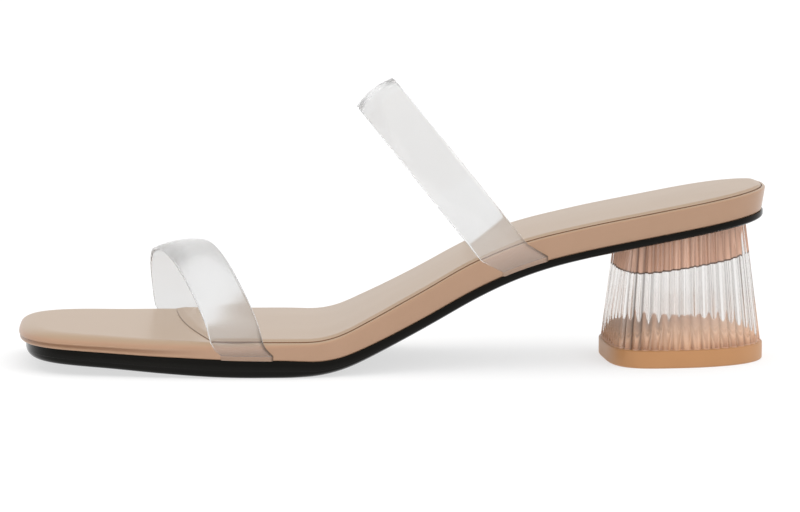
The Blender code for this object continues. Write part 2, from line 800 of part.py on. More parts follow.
def make_heel():
    """Clear fluted block, wider at the floor, with a pocket in its top."""
    foot = heel_level(HEEL_FOOT_LENGTH, HEEL_FOOT_WIDTH, HEEL_FOOT_MIDDLE, FLUTE_DEPTH)
    top = heel_level(HEEL_TOP_LENGTH, HEEL_TOP_WIDTH, HEEL_TOP_MIDDLE, FLUTE_DEPTH)
    pocket = heel_level(
        HEEL_TOP_LENGTH - 2.0 * HEEL_RIM, HEEL_TOP_WIDTH - 2.0 * HEEL_RIM, HEEL_TOP_MIDDLE)
    bottom = LIFT_HEIGHT + JOINT_GAP
    rings = [
        [to_world(x, y, bottom) for x, y in foot],
        [to_world(x, y, seat_height(x, JOINT_GAP)) for x, y in top],
        [to_world(x, y, seat_height(x, JOINT_GAP)) for x, y in pocket],
        [to_world(x, y, pocket_floor(x) - JOINT_GAP) for x, y in pocket],
    ]
    vertices, faces = stacked_rings(rings, hub_fill, hub_fill)
    return new_object("heel_block", vertices, faces, HEEL_LOOK)


def make_insert():
    """Nude plug that fills the pocket in the top of the heel."""
    small = 2.0 * (HEEL_RIM + JOINT_GAP)
    plan = heel_level(HEEL_TOP_LENGTH - small, HEEL_TOP_WIDTH - small, HEEL_TOP_MIDDLE)
    rings = [
        [to_world(x, y, pocket_floor(x)) for x, y in plan],
        [to_world(x, y, seat_height(x, JOINT_GAP)) for x, y in plan],
    ]
    vertices, faces = stacked_rings(rings, hub_fill, hub_fill)
    return new_object("heel_insert", vertices, faces, INSERT_LOOK)


def make_lift():
    """Top lift under the heel, a little wider than the flutes, with a rounded lower edge."""
    wide = 2.0 * LIFT_MARGIN
    rings = []
    for degrees in LIFT_EDGE_TURNS:
        turn = math.radians(degrees)
        small = 2.0 * LIFT_EDGE * (1.0 - math.sin(turn))
        plan = heel_level(
            HEEL_FOOT_LENGTH + wide - small, HEEL_FOOT_WIDTH + wide - small, HEEL_FOOT_MIDDLE)
        rings.append([to_world(x, y, LIFT_EDGE * (1.0 - math.cos(turn))) for x, y in plan])
    plan = heel_level(HEEL_FOOT_LENGTH + wide, HEEL_FOOT_WIDTH + wide, HEEL_FOOT_MIDDLE)
    rings.append([to_world(x, y, LIFT_HEIGHT) for x, y in plan])
    vertices, faces = stacked_rings(rings, hub_fill, hub_fill)
    return new_object("top_lift", vertices, faces, LIFT_LOOK)


FRONT_STRAP = (
    FRONT_STRAP_PLACE, FRONT_STRAP_WIDTH, FRONT_STRAP_HEIGHT, FRONT_STRAP_PITCH, FRONT_STRAP_SKEW,
    FRONT_STRAP_RUN, FRONT_ARCH)
REAR_STRAP = (
    REAR_STRAP_PLACE, REAR_STRAP_WIDTH, REAR_STRAP_HEIGHT, REAR_STRAP_PITCH, REAR_STRAP_SKEW,
    REAR_STRAP_RUN, REAR_ARCH)


def main():
    clear_scene()
    plan = plan_ring(rounded_stations())
    make_outsole(plan)
    footbed = make_footbed(plan)
    make_sock()
    make_strap("front_strap", *FRONT_STRAP)
    make_strap("rear_strap", *REAR_STRAP)
    for side, word in ((-1, "outer"), (1, "inner")):
        cut(footbed, make_slot("front_slot_" + word, *FRONT_STRAP, side))
        cut(footbed, make_slot("rear_slot_" + word, *REAR_STRAP, side))
    make_heel()
    make_insert()
    make_lift()


main()
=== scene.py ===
"""Looks of the two-strap slide sandal with a clear block heel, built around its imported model.

Metres, +Z up. The toe points along -X and the outer side of the foot faces the camera (-Y).
Places on the shoe are given as x, measured back from the tip of the toe, y, and a height.
"""
import math

import bmesh
import bpy
import numpy as np
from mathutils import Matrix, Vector


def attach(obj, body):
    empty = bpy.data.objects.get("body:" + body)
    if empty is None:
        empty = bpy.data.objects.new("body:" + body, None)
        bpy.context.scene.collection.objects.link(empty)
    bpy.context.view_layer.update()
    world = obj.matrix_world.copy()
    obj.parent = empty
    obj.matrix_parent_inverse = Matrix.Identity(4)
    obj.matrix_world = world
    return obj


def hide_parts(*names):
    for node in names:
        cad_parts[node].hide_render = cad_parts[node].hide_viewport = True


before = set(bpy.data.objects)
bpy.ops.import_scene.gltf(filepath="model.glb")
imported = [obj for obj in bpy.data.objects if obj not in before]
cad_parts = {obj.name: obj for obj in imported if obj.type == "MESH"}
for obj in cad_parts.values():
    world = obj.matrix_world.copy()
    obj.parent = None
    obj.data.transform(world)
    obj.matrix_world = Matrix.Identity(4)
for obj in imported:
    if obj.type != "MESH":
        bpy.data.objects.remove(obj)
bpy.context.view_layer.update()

# Sizes of the shoe, as in the part's source
LENGTH = 0.240
BALL_WIDTH = 0.080
HEEL_RISE = 0.0467
TOE_SPRING = 0.0036
SPRING_END = 0.32
JOINT_GAP = 0.0003
TOE_ROUND = 0.034
TOE_TIP_SIDE = 0.014
TOE_OUTER_SQUARENESS = 3.5
TOE_INNER_SQUARENESS = 2.4
SEAT_ROUND = 0.031
SEAT_SQUARENESS = 2.5
OUTSOLE_BALL = 0.0059
OUTSOLE_INSET = 0.0006
OUTSOLE_TOE_INSET = 0.0016
OUTSOLE_BEVEL = 0.0080
OUTSOLE_BEVEL_SHARE = 0.40
FOOTBED_SEAT = 0.0074
WALL_SLOPE = 0.16
SOFT_EDGE_IN = 0.0069
SOFT_EDGE_DOWN = 0.0030
SOCK_THICK = 0.0009
SOCK_MARGIN = 0.0004
SOCK_FRONT = 0.0501
SOCK_SKEW = 0.0148
STRAP_THICK = 0.0014
STRAP_TUCK = 0.0065
STRAP_BEND = 0.0003
HEEL_TOP_LENGTH = 0.0410
HEEL_TOP_WIDTH = 0.0430
HEEL_FOOT_LENGTH = 0.0505
HEEL_FOOT_WIDTH = 0.0455
HEEL_TOP_BACK = 0.0060
HEEL_YAW = 5.0
HEEL_OFFSET = 0.0010
HEEL_FRONT_SHARE = 0.36
HEEL_FRONT_SQUARENESS = 3.4
HEEL_BACK_SQUARENESS = 2.2
FLUTE_COUNT = 46
POCKET_DEPTH = 0.0090
POCKET_DROP = 0.0024
LIFT_HEIGHT = 0.0056
LIFT_MARGIN = 0.0006
LIFT_EDGE = 0.0007
HEEL_FOOT_MIDDLE = LENGTH - LIFT_MARGIN - 0.5 * HEEL_FOOT_LENGTH
HEEL_TOP_MIDDLE = LENGTH - HEEL_TOP_BACK - 0.5 * HEEL_TOP_LENGTH

# Straps: place, width, height, pitch, skew and run, as in the part's source
STRAP_COLUMNS = ("place", "width", "height", "pitch", "skew", "run")
FRONT_STRAP = (0.0607, 0.0157, 0.0243, 9.0, 13.5, 0.0030)
REAR_STRAP = (0.1532, 0.0147, 0.0614, 38.5, 3.0, 0.0068)
FRONT_ARCH = (
    (0.040, 0.22),
    (0.130, 0.44),
    (0.245, 0.64),
    (0.375, 0.82),
    (0.510, 0.94),
    (0.650, 1.00),
    (0.790, 0.985),
    (0.895, 0.89),
    (0.965, 0.66),
    (1.000, 0.33),
)
REAR_ARCH = (
    (-0.005, 0.14),
    (0.005, 0.33),
    (0.050, 0.53),
    (0.140, 0.74),
    (0.270, 0.90),
    (0.430, 0.985),
    (0.590, 1.00),
    (0.740, 0.93),
    (0.880, 0.76),
    (0.970, 0.54),
    (1.015, 0.33),
    (1.015, 0.14),
)

# Plan of the sole: place along the length, outer and inner half width as shares of the ball width
PLAN_COLUMNS = ("place", "outer", "inner")
PLAN = (
    (0.00, 0.400, 0.405),
    (0.11, 0.420, 0.432),
    (0.19, 0.465, 0.478),
    (0.28, 0.495, 0.500),
    (0.36, 0.500, 0.480),
    (0.44, 0.452, 0.405),
    (0.52, 0.388, 0.350),
    (0.60, 0.350, 0.332),
    (0.70, 0.335, 0.335),
    (0.80, 0.336, 0.346),
    (0.90, 0.333, 0.345),
    (1.00, 0.328, 0.338),
)

# Steepness of the underside behind the ball, as shares of its steepest slope
CLIMB_COLUMNS = ("place", "steepness")
CLIMB = (
    (0.385, 0.00),
    (0.420, 0.42),
    (0.455, 0.84),
    (0.500, 0.98),
    (0.540, 1.04),
    (0.580, 1.10),
    (0.620, 0.98),
    (0.680, 0.72),
    (0.740, 0.49),
    (0.800, 0.40),
    (0.880, 0.38),
    (1.000, 0.33),
)

# Thicknesses along the sole: outsole as a share of its ball and footbed as a share of its seat,
# then the shares of the outsole's bevel and of the two reaches of the footbed's soft edge
THICKNESS_COLUMNS = ("place", "outsole", "footbed", "bevel", "edge_in", "edge_down")
THICKNESS = (
    (0.00, 0.86, 0.64, 0.30, 1.00, 1.00),
    (0.12, 0.88, 0.66, 0.28, 0.82, 0.94),
    (0.26, 1.00, 0.70, 0.25, 0.46, 0.78),
    (0.35, 0.97, 0.74, 0.30, 0.26, 0.48),
    (0.43, 0.76, 0.90, 0.80, 0.16, 0.29),
    (0.52, 0.62, 1.02, 1.00, 0.13, 0.24),
    (0.62, 0.58, 1.04, 1.00, 0.12, 0.22),
    (0.74, 0.47, 1.00, 0.60, 0.12, 0.22),
    (0.86, 0.44, 1.00, 0.35, 0.12, 0.22),
    (1.00, 0.44, 1.00, 0.35, 0.12, 0.22),
)

# Finer forms that only the look has
OUTSOLE_GAP = 0.1 * JOINT_GAP
HEEL_GAP = 0.2 * JOINT_GAP
FOOTBED_LOW_EDGE = 0.0003
SEAM_DEPTH = 0.00035
SEAM_WIDTH = 0.00040
SEAM_FADE = 0.006
SOCK_BORDER = 0.00035
SOCK_BORDER_REACH = 0.0022
SOCK_CROWN = 0.0003
SOCK_CROWN_REACH = 0.024
SOLE_BAND_STEP = 0.00012
SOLE_TOP_EDGE = 0.0003
STRAP_CROWN = 0.0006
STRAP_SIDE = 0.0006
STRAP_ROUND = 0.05
STRAP_FLAT_END = 0.006
STRAP_CORNER = 0.75
RECESS_HEIGHT = 0.0088
RECESS_SHARE = 0.90
PLUG_EDGE = 0.0005
SOFT_FLUTE_DEPTH = 0.0011
PLUG_LOBES = 0.0014
RECESS_LOBES = 0.0012
POCKET_RIM = 0.0020
WALL_HOLLOW_END = 0.062
WALL_HOLLOW_FADE = 3
WALL_HOLLOW_SHARE = 0.60
WALL_HOLLOW_DEPTH = 0.0006
LIFT_TOP_EDGE = 0.00025

# Rows of the groove round the sock: place across it and depth, as shares of its width and depth
SEAM_ROWS = ((0.25, 0.0), (0.5, 1.0), (1.0, 1.0), (1.25, 0.0))

# Layers of the sock from below: how far in its side lies, share of its height, shade at its side
SOCK_LAYERS = ((0.00012, 0.0, 1.0), (0.0, 0.45, 1.0), (0.00015, 1.0, 0.35))

# Fine step of the outsole's side: share of the step's depth, and height as a share of the bevel's
SOLE_STEP_ROWS = ((1.0, 1.02), (0.0, 1.08))

# Shades, from 0 for a material's own colour to 1 for its darker one, and how far they reach
# The dark seam line round the sock is partly painted shade in its groove; every other shade is painted
# shade or painted dark refraction
SHADE_LAYER = "shade"
# Painted shade on the hollow upper wall round the toe, under its soft edge
TOE_WALL_PAINTED_SHADE = 0.72
# Painted shade on the clear bands: a dark line along one side near each end, and a darker foot
STRAP_SHADE = 1.0
STRAP_SHADE_WIDTH = 0.20
STRAP_SHADE_REACH = 0.0150
STRAP_FOOT_SHADE = 0.28
STRAP_FOOT_REACH = 0.0026
# Painted shade in the grooves of the plug and of the hollow over the lift
GROOVE_SHADE = 0.55
# Painted dark refraction: streaks in the clear heel's flute grooves, strongest where its outline bends
STREAK_SHADE = 1.0
STREAK_EVEN = 0.16
STREAK_SHARPNESS = 3.0

# Fineness of the meshes
CLIMB_STEPS = 600
END_STATIONS = 44
MIDDLE_STATIONS = 150
EDGE_STEPS = 10
TOP_EDGE_STEPS = 2
WALL_STEPS = 12
TOP_COLUMNS = 22
OUTSOLE_COLUMNS = 6
SOCK_ROWS = 200
SOCK_COLUMNS = 48
SOCK_FINE_END = 0.12
SOCK_EVEN_END = 0.7
STRAP_ARCH_STEPS = 150
STRAP_CROSS_STEPS = 26
BEND_STEPS = 8
FLUTE_STEPS = 14
RECESS_STEPS = 14
TILT_REACH = 0.004
SAME_POINT = 1e-7
SHORTEST_STEP = 1e-9
SETTLE_ROUNDS = 40

# Largest angles between faces that are shaded as one, in degrees
SMOOTH_ANGLE = 30.0
SOCK_SMOOTH_ANGLE = 50.0
BAND_SMOOTH_ANGLE = 80.0
HEEL_SMOOTH_ANGLE = 25.0

# Colours as linear red, green, blue
LEATHER_LIGHT = (0.415, 0.255, 0.165)
LEATHER_DARK = (0.375, 0.224, 0.140)
SOCK_LIGHT = (0.370, 0.255, 0.162)
SOCK_DARK = (0.335, 0.226, 0.139)
# Dark seam line round the sock, partly painted shade in its groove; also the painted shade on the toe's
# wall
SEAM_AND_PAINTED_SHADE_COLOUR = (0.22, 0.11, 0.055)
OUTSOLE_COLOUR = (0.004, 0.004, 0.003)
OUTSOLE_WORN = (0.007, 0.006, 0.005)
# The two bands are one clear plastic; their grey tints, darker on the front band, are painted shade set to
# how bright each looks
FRONT_COLOUR = (0.765, 0.765, 0.765)
REAR_COLOUR = (0.875, 0.875, 0.875)
# Dark colour of the painted shade on the clear bands
BAND_SHADE = (0.05, 0.04, 0.03)
ACRYLIC_COLOUR = (0.87, 0.855, 0.84)
PLUG_LIGHT = (0.76, 0.455, 0.32)
PLUG_DARK = (0.72, 0.42, 0.29)
# Dark colour of the painted shade in the grooves of the plug and the hollow
GROOVE_COLOUR = (0.34, 0.15, 0.085)
# Dark colour of the painted streaks in the clear heel's flute grooves
STREAK_COLOUR = (0.03, 0.02, 0.015)
# Painted shadow: the dark ring at the plug's lower edge in the pocket
PLUG_EDGE_PAINTED_SHADOW_COLOUR = (0.12, 0.06, 0.035)
RECESS_LOW_COLOUR = (0.70, 0.41, 0.25)
RECESS_TOP_COLOUR = (0.77, 0.56, 0.42)
LIFT_LIGHT = (0.475, 0.235, 0.098)
LIFT_DARK = (0.44, 0.212, 0.085)
FLOOR_COLOUR = (0.33, 0.33, 0.33)
ROOM_DIM = (0.58, 0.58, 0.585)
WHITE = (1.0, 1.0, 1.0)

# Surfaces: grain, blotches, gloss, and how far up a surface has to face to take the painted sheen
LEATHER_SPECULAR = 0.45
LEATHER_GRAIN_SIZE = 0.0005
LEATHER_GRAIN_STRENGTH = 0.25
LEATHER_GRAIN_DEPTH = 0.00004
PLAIN_SPECULAR = 0.5
PLAIN_GRAIN_SIZE = 0.0008
PLAIN_GRAIN_DEPTH = 0.00003
GRAIN_NOISE_SHARE = 0.4
GRAIN_DETAIL = 6.0
MOTTLE_DETAIL = 4.0
PAINTED_SHEEN_FROM = 0.55
PAINTED_SHEEN_FULL = 0.98
BAND_INDEX = 1.46
ACRYLIC_INDEX = 1.49

# Floor, backdrop and daylight
FLOOR_SIZE = 12.0
FLOOR_ROUGHNESS = 0.9
FLOOR_SPECULAR = 0.1
FLOOR_GLOW = 0.645
BACKDROP_FROM = -0.75
BACKDROP_FULL = 0.15
SUN_POWER = 1.25
SUN_SOFTNESS = 70.0
SUN_FROM = (0.25, -0.35, 1.0)

# How often light may pass from piece to piece, and the brightest indirect light
CLEAR_BOUNCES = 20
GLOSSY_BOUNCES = 8
DIFFUSE_BOUNCES = 4
BRIGHTEST_INDIRECT = 6.0

# Camera, as the photograph stands to the shoe
CAMERA_AIM = (0.00277, 0.00072, 0.03347)
CAMERA_AZIMUTH = -2.0
CAMERA_ELEVATION = 7.45
CAMERA_DISTANCE = 1.30
CAMERA_SENSOR = 36.0
CAMERA_FAR = 50.0
PIXELS_PER_METRE = 3104.0
IMAGE_WIDTH = 800.0


def column(table, columns, name):
    index = columns.index(name)
    return [row[index] for row in table]


def smooth_curve(places, values):
    """Return a smooth function through the rows that never swings past them."""
    x = np.array(places, float)
    y = np.array(values, float)
    step = np.diff(x)
    slope = np.diff(y) / step
    tangent = np.zeros(len(x))
    tangent[0] = slope[0]
    tangent[-1] = slope[-1]
    for i in range(1, len(x) - 1):
        if slope[i - 1] * slope[i] > 0.0:
            before = 2.0 * step[i] + step[i - 1]
            after = step[i] + 2.0 * step[i - 1]
            tangent[i] = (before + after) / (before / slope[i - 1] + after / slope[i])

    def at(place):
        p = min(max(place, x[0]), x[-1])
        i = min(int(np.searchsorted(x, p, side="right")) - 1, len(x) - 2)
        t = (p - x[i]) / step[i]
        first = (1.0 + 2.0 * t) * (1.0 - t) ** 2 * y[i] + t * t * (3.0 - 2.0 * t) * y[i + 1]
        return first + step[i] * (t * (1.0 - t) ** 2 * tangent[i] - t * t * (1.0 - t) * tangent[i + 1])

    return at


def table_curve(table, columns, name):
    """Smooth curve of one column of a table over its places."""
    return smooth_curve(column(table, columns, "place"), column(table, columns, name))


outer_share = table_curve(PLAN, PLAN_COLUMNS, "outer")
inner_share = table_curve(PLAN, PLAN_COLUMNS, "inner")
climb_share = table_curve(CLIMB, CLIMB_COLUMNS, "steepness")
outsole_share = table_curve(THICKNESS, THICKNESS_COLUMNS, "outsole")
footbed_share = table_curve(THICKNESS, THICKNESS_COLUMNS, "footbed")
bevel_share = table_curve(THICKNESS, THICKNESS_COLUMNS, "bevel")
edge_in_share = table_curve(THICKNESS, THICKNESS_COLUMNS, "edge_in")
edge_down_share = table_curve(THICKNESS, THICKNESS_COLUMNS, "edge_down")


def climb_table():
    """Add up the slope behind the ball, so that the underside ends HEEL_RISE above the floor."""
    start = CLIMB[0][0]
    shares = np.linspace(start, 1.0, CLIMB_STEPS + 1)
    steepness = np.array([climb_share(s) for s in shares])
    parts = 0.5 * (steepness[1:] + steepness[:-1]) * np.diff(shares)
    total = np.concatenate([[0.0], np.cumsum(parts)])
    return shares, HEEL_RISE * total / total[-1]


CLIMB_PLACES, CLIMB_HEIGHTS = climb_table()


def underside(x):
    """Height of the outsole's underside at x."""
    share = x / LENGTH
    if share < SPRING_END:
        t = min((SPRING_END - share) / SPRING_END, 1.0)
        return TOE_SPRING * t * t * (3.0 - 2.0 * t)
    if share > 1.0:
        last = (CLIMB_HEIGHTS[-1] - CLIMB_HEIGHTS[-2]) / (CLIMB_PLACES[-1] - CLIMB_PLACES[-2])
        return float(CLIMB_HEIGHTS[-1] + last * (share - 1.0))
    return float(np.interp(share, CLIMB_PLACES, CLIMB_HEIGHTS, left=0.0))


def tilt(x):
    """Cosine of the underside's slope at x, which turns a thickness into a height."""
    rise = underside(x + TILT_REACH) - underside(x - TILT_REACH)
    return 2.0 * TILT_REACH / math.hypot(2.0 * TILT_REACH, rise)


def sole_height(x, up):
    """Height of a point that lies `up` above the underside, square to it."""
    return underside(x) + up / tilt(x)


def outsole_thick(x):
    return OUTSOLE_BALL * outsole_share(x / LENGTH)


def footbed_thick(x):
    return FOOTBED_SEAT * footbed_share(x / LENGTH)


def sole_thick(x):
    """Thickness of outsole and footbed together."""
    return outsole_thick(x) + footbed_thick(x)


def bevel_in(x):
    """How far in from the outsole's side its bevel reaches underneath."""
    return OUTSOLE_BEVEL * bevel_share(x / LENGTH)


def bevel_up(x):
    """How high up the outsole's side its bevel reaches."""
    return OUTSOLE_BEVEL_SHARE * outsole_thick(x)


def soft_in(x):
    """How far in from the wall the footbed's soft edge reaches."""
    return SOFT_EDGE_IN * edge_in_share(x / LENGTH)


def soft_down(x):
    """How far the footbed's soft edge falls from the flat top to the wall."""
    return SOFT_EDGE_DOWN * edge_down_share(x / LENGTH)


def wall_lean(x):
    """How far the footbed's wall leans in between its soft edge and its foot."""
    return WALL_SLOPE * (footbed_thick(x) - soft_down(x))


def end_rounding(x, side):
    """Share of the half width that is left close to the toe and to the back of the seat."""
    keep = 1.0
    if x < TOE_ROUND:
        t = min((TOE_ROUND - x) / TOE_ROUND, 1.0)
        power = TOE_OUTER_SQUARENESS if side < 0 else TOE_INNER_SQUARENESS
        keep *= (1.0 - t ** power) ** (1.0 / power)
    if x > LENGTH - SEAT_ROUND:
        t = min((x - LENGTH + SEAT_ROUND) / SEAT_ROUND, 1.0)
        keep *= (1.0 - t ** SEAT_SQUARENESS) ** (1.0 / SEAT_SQUARENESS)
    return keep


def full_width(x, side):
    """Half width at x before the ends are rounded: outer side -1, inner side +1."""
    share = outer_share(x / LENGTH) if side < 0 else inner_share(x / LENGTH)
    return BALL_WIDTH * share


def half_width(x, side):
    tip = side * TOE_TIP_SIDE if x < TOE_ROUND else 0.0
    return tip + (full_width(x, side) - tip) * end_rounding(x, side)


def quarter_turns(steps):
    """Angles of a quarter round in equal steps, both ends included."""
    return [0.5 * math.pi * step / steps for step in range(steps + 1)]


def walked_lengths(points):
    """Length walked along a line of points, at each of them."""
    steps = np.linalg.norm(np.diff(points, axis=0), axis=1)
    return np.concatenate([[0.0], np.cumsum(steps)])


def plan_ring():
    """Closed outline: toe tip, outer side back to the seat end, then the inner side forward."""
    quarter = quarter_turns(END_STATIONS)
    toe = [TOE_ROUND * (1.0 - math.cos(a)) for a in quarter[:-1]]
    back = LENGTH - SEAT_ROUND
    middle = [TOE_ROUND + (back - TOE_ROUND) * i / MIDDLE_STATIONS for i in range(MIDDLE_STATIONS)]
    seat = [back + SEAT_ROUND * math.sin(a) for a in quarter]
    places = toe + middle + seat
    ring = [(places[0], TOE_TIP_SIDE)]
    ring += [(x, -half_width(x, -1)) for x in places[1:-1]]
    ring += [(places[-1], 0.0)]
    ring += [(x, half_width(x, 1)) for x in reversed(places[1:-1])]
    return ring


def inset_ring(ring, amount):
    """Move each point of a closed outline inwards, square to the outline, by amount(x)."""
    count = len(ring)
    moved = []
    for i, (x, y) in enumerate(ring):
        before = ring[i - 1]
        after = ring[(i + 1) % count]
        dx = after[0] - before[0]
        dy = after[1] - before[1]
        size = math.hypot(dx, dy)
        step = amount(x)
        moved.append((x - step * dy / size, y + step * dx / size))
    return moved


def sole_ring(plan, inset, height):
    """The sole's outline moved inwards by inset(x), each point at height(x, y) above the underside."""
    return [(x, y, height(x, y)) for x, y in inset_ring(plan, inset)]


def to_world(x, y, z):
    return (x - 0.5 * LENGTH, y, z)


def ease(t):
    """Smooth step from 0 to 1."""
    t = min(max(t, 0.0), 1.0)
    return t * t * (3.0 - 2.0 * t)


def sock_front(y):
    """Front end of the sock: a curve that runs back towards the outer side."""
    t = (0.5 * BALL_WIDTH - y) / BALL_WIDTH
    return SOCK_FRONT + SOCK_SKEW * t * t


def make_piece(name, vertices, faces, materials, slots=None, smooth_angle=SMOOTH_ANGLE, shades=None):
    """Mesh object from lists; `slots` has a material's index per face, `shades` a shade per vertex."""
    mesh = bpy.data.meshes.new(name)
    mesh.from_pydata([Vector(v) for v in vertices], [], faces)
    for material in materials:
        mesh.materials.append(material)
    if slots is not None:
        mesh.polygons.foreach_set("material_index", slots)
    if shades is not None:
        layer = mesh.attributes.new(SHADE_LAYER, "FLOAT", "POINT")
        layer.data.foreach_set("value", shades)
    form = bmesh.new()
    form.from_mesh(mesh)
    bmesh.ops.remove_doubles(form, verts=form.verts, dist=SAME_POINT)
    bmesh.ops.recalc_face_normals(form, faces=form.faces)
    form.to_mesh(mesh)
    form.free()
    mesh.shade_smooth()
    mesh.set_sharp_from_angle(angle=math.radians(smooth_angle))
    made = bpy.data.objects.new(name, mesh)
    bpy.context.scene.collection.objects.link(made)
    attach(made, "root")
    return made


def ring_body(rings):
    """Vertices of a stack of equal rings, and the side faces between them."""
    size = len(rings[0])
    vertices = [point for ring in rings for point in ring]
    faces = []
    for low in range(0, (len(rings) - 1) * size, size):
        high = low + size
        for i in range(size):
            j = (i + 1) % size
            faces.append((low + i, low + j, high + j, high + i))
    return vertices, faces


def rung_fill(vertices, faces, start, size, columns=1, height=None):
    """Close a sole ring with rungs from its outer to its inner side, `columns` cells across.

    Points between the two sides lie at height(x, y).
    """
    half = size // 2
    rungs = []
    for i in range(half + 1):
        left = vertices[start + i]
        right = vertices[start + (size - i) % size]
        if i in (0, half):
            rungs.append([start + i] * (columns + 1))
            continue
        rung = [start + i]
        for j in range(1, columns):
            t = j / columns
            x = left[0] + (right[0] - left[0]) * t
            y = left[1] + (right[1] - left[1]) * t
            vertices.append((x, y, height(x, y)))
            rung.append(len(vertices) - 1)
        rung.append(start + size - i)
        rungs.append(rung)
    for low, high in zip(rungs, rungs[1:]):
        for j in range(columns):
            kept = []
            for corner in (low[j], high[j], high[j + 1], low[j + 1]):
                if corner not in kept:
                    kept.append(corner)
            if len(kept) > 2:
                faces.append(tuple(kept))


def on_sole(vertices):
    """Turn (x, y, height above the underside) into places in the scene."""
    return [to_world(x, y, sole_height(x, up)) for x, y, up in vertices]


def seam_share(x, y):
    """How far the seam round the sock has begun at this place of the footbed."""
    return ease((x - sock_front(y)) / SEAM_FADE)


def wall_hollow(x, up):
    """Share of the hollow that the footbed's wall has round the toe, at the share `up` of its height."""
    toe = 1.0 - ease((x / WALL_HOLLOW_END) ** WALL_HOLLOW_FADE)
    if up < WALL_HOLLOW_SHARE:
        return toe * ease(up / WALL_HOLLOW_SHARE)
    return toe * ease((1.0 - up) / (1.0 - WALL_HOLLOW_SHARE))


def wall_inset(x, up):
    """Inset of the footbed's wall at the share `up` of its height."""
    return wall_lean(x) * (1.0 - up) + WALL_HOLLOW_DEPTH * wall_hollow(x, up)


def make_footbed(plan, material):
    """Leather-wrapped footbed: hollow wall round the toe, rounded top edge, fine groove round the sock."""
    size = len(plan)
    rings = [
        sole_ring(plan, lambda x: wall_lean(x) + FOOTBED_LOW_EDGE, lambda x, y: outsole_thick(x)),
        sole_ring(plan, wall_lean, lambda x, y: outsole_thick(x) + FOOTBED_LOW_EDGE),
    ]
    shades = [0.0] * (len(rings) * size)

    def wall_height(x, up):
        low = FOOTBED_LOW_EDGE
        return outsole_thick(x) + low + (footbed_thick(x) - soft_down(x) - low) * up

    for step in range(1, WALL_STEPS):
        up = step / WALL_STEPS
        ring = sole_ring(plan, lambda x: wall_inset(x, up), lambda x, y: wall_height(x, up))
        rings.append(ring)
        # Painted shade on the hollow upper wall round the toe, under the overhanging soft edge
        shades += [TOE_WALL_PAINTED_SHADE * wall_hollow(x, up) for x, _, _ in ring]
    for turn in quarter_turns(EDGE_STEPS):
        ring = sole_ring(
            plan,
            lambda x: soft_in(x) * (1.0 - math.cos(turn)),
            lambda x, y: sole_thick(x) - soft_down(x) * (1.0 - math.sin(turn)))
        rings.append(ring)
        shades += [0.0] * size
    for across, depth in SEAM_ROWS:
        ring = sole_ring(
            plan,
            lambda x: soft_in(x) + across * SEAM_WIDTH,
            lambda x, y: sole_thick(x) - depth * SEAM_DEPTH * seam_share(x, y))
        rings.append(ring)
        # Dark seam line in the groove round the sock, partly painted shade of the groove
        shades += [depth * seam_share(x, y) for x, y, _ in ring]
    vertices, faces = ring_body(rings)
    last = len(vertices) - size
    rung_fill(vertices, faces, 0, size)
    rung_fill(vertices, faces, last, size, TOP_COLUMNS, lambda x, y: sole_thick(x))
    shades += [0.0] * (len(vertices) - len(shades))
    return make_piece("footbed_leather", on_sole(vertices), faces, [material], shades=shades)


def sock_spacing(t):
    """Even steps along the sock, which close up towards its front edge and its rounded back end."""
    if t < SOCK_FINE_END:
        return t - t * (1.0 - t / SOCK_FINE_END) ** 2
    if t < SOCK_EVEN_END:
        return t
    rest = 1.0 - SOCK_EVEN_END
    return SOCK_EVEN_END + rest * math.sin(0.5 * math.pi * (t - SOCK_EVEN_END) / rest)


def cross_spacing(t):
    """Even steps from -1 to 1, turned into steps that close up towards both sides."""
    return 1.5 * t - 0.5 * t ** 3


def sock_point(v, along, inset, share):
    """Point of the sock and its distance from the sock's edge, for v from -1 to 1 across it."""
    side = -1 if v < 0 else 1
    back = LENGTH - soft_in(LENGTH) - SOCK_MARGIN
    guess = SOCK_FRONT + (LENGTH - SOCK_FRONT) * along
    width = max(half_width(guess, side) - soft_in(guess) - SOCK_MARGIN - inset, 0.0)
    front = sock_front(v * width) + inset
    x = front + (back - inset - front) * along
    keep = min(max((back - inset - x) / SEAT_ROUND, 0.0), 1.0)
    rounding = (1.0 - (1.0 - keep) ** SEAT_SQUARENESS) ** (1.0 / SEAT_SQUARENESS)
    width = max((full_width(x, side) - soft_in(x)) * rounding - SOCK_MARGIN - inset, 0.0)
    edge = min((1.0 - abs(v)) * width, back - x, x - front)
    thick = SOCK_BORDER + (SOCK_THICK - SOCK_BORDER) * ease(edge / SOCK_BORDER_REACH)
    crown = SOCK_CROWN * ease(edge / SOCK_CROWN_REACH)
    return (x, v * width, sole_thick(x) + share * (thick + crown)), edge


def make_sock(material):
    """Thin leather sock with a thinner border and a fine dark seam line all round, partly painted shade at
    its edge.
    """
    layers = []
    shades = []
    for inset, share, shade in SOCK_LAYERS:
        layer = []
        for i in range(SOCK_ROWS + 1):
            along = sock_spacing(i / SOCK_ROWS)
            line = []
            for j in range(SOCK_COLUMNS + 1):
                v = cross_spacing(-1.0 + 2.0 * j / SOCK_COLUMNS)
                point, edge = sock_point(v, along, inset, share)
                line.append(point)
                # Dark seam line at the sock's edge, partly painted shade of the groove there
                shades.append(max(shade - edge / SEAM_WIDTH, 0.0))
            layer.append(line)
        layers.append(layer)
    vertices, faces = layered_body(layers)
    return make_piece(
        "sock_leather", on_sole(vertices), faces, [material],
        smooth_angle=SOCK_SMOOTH_ANGLE, shades=shades)


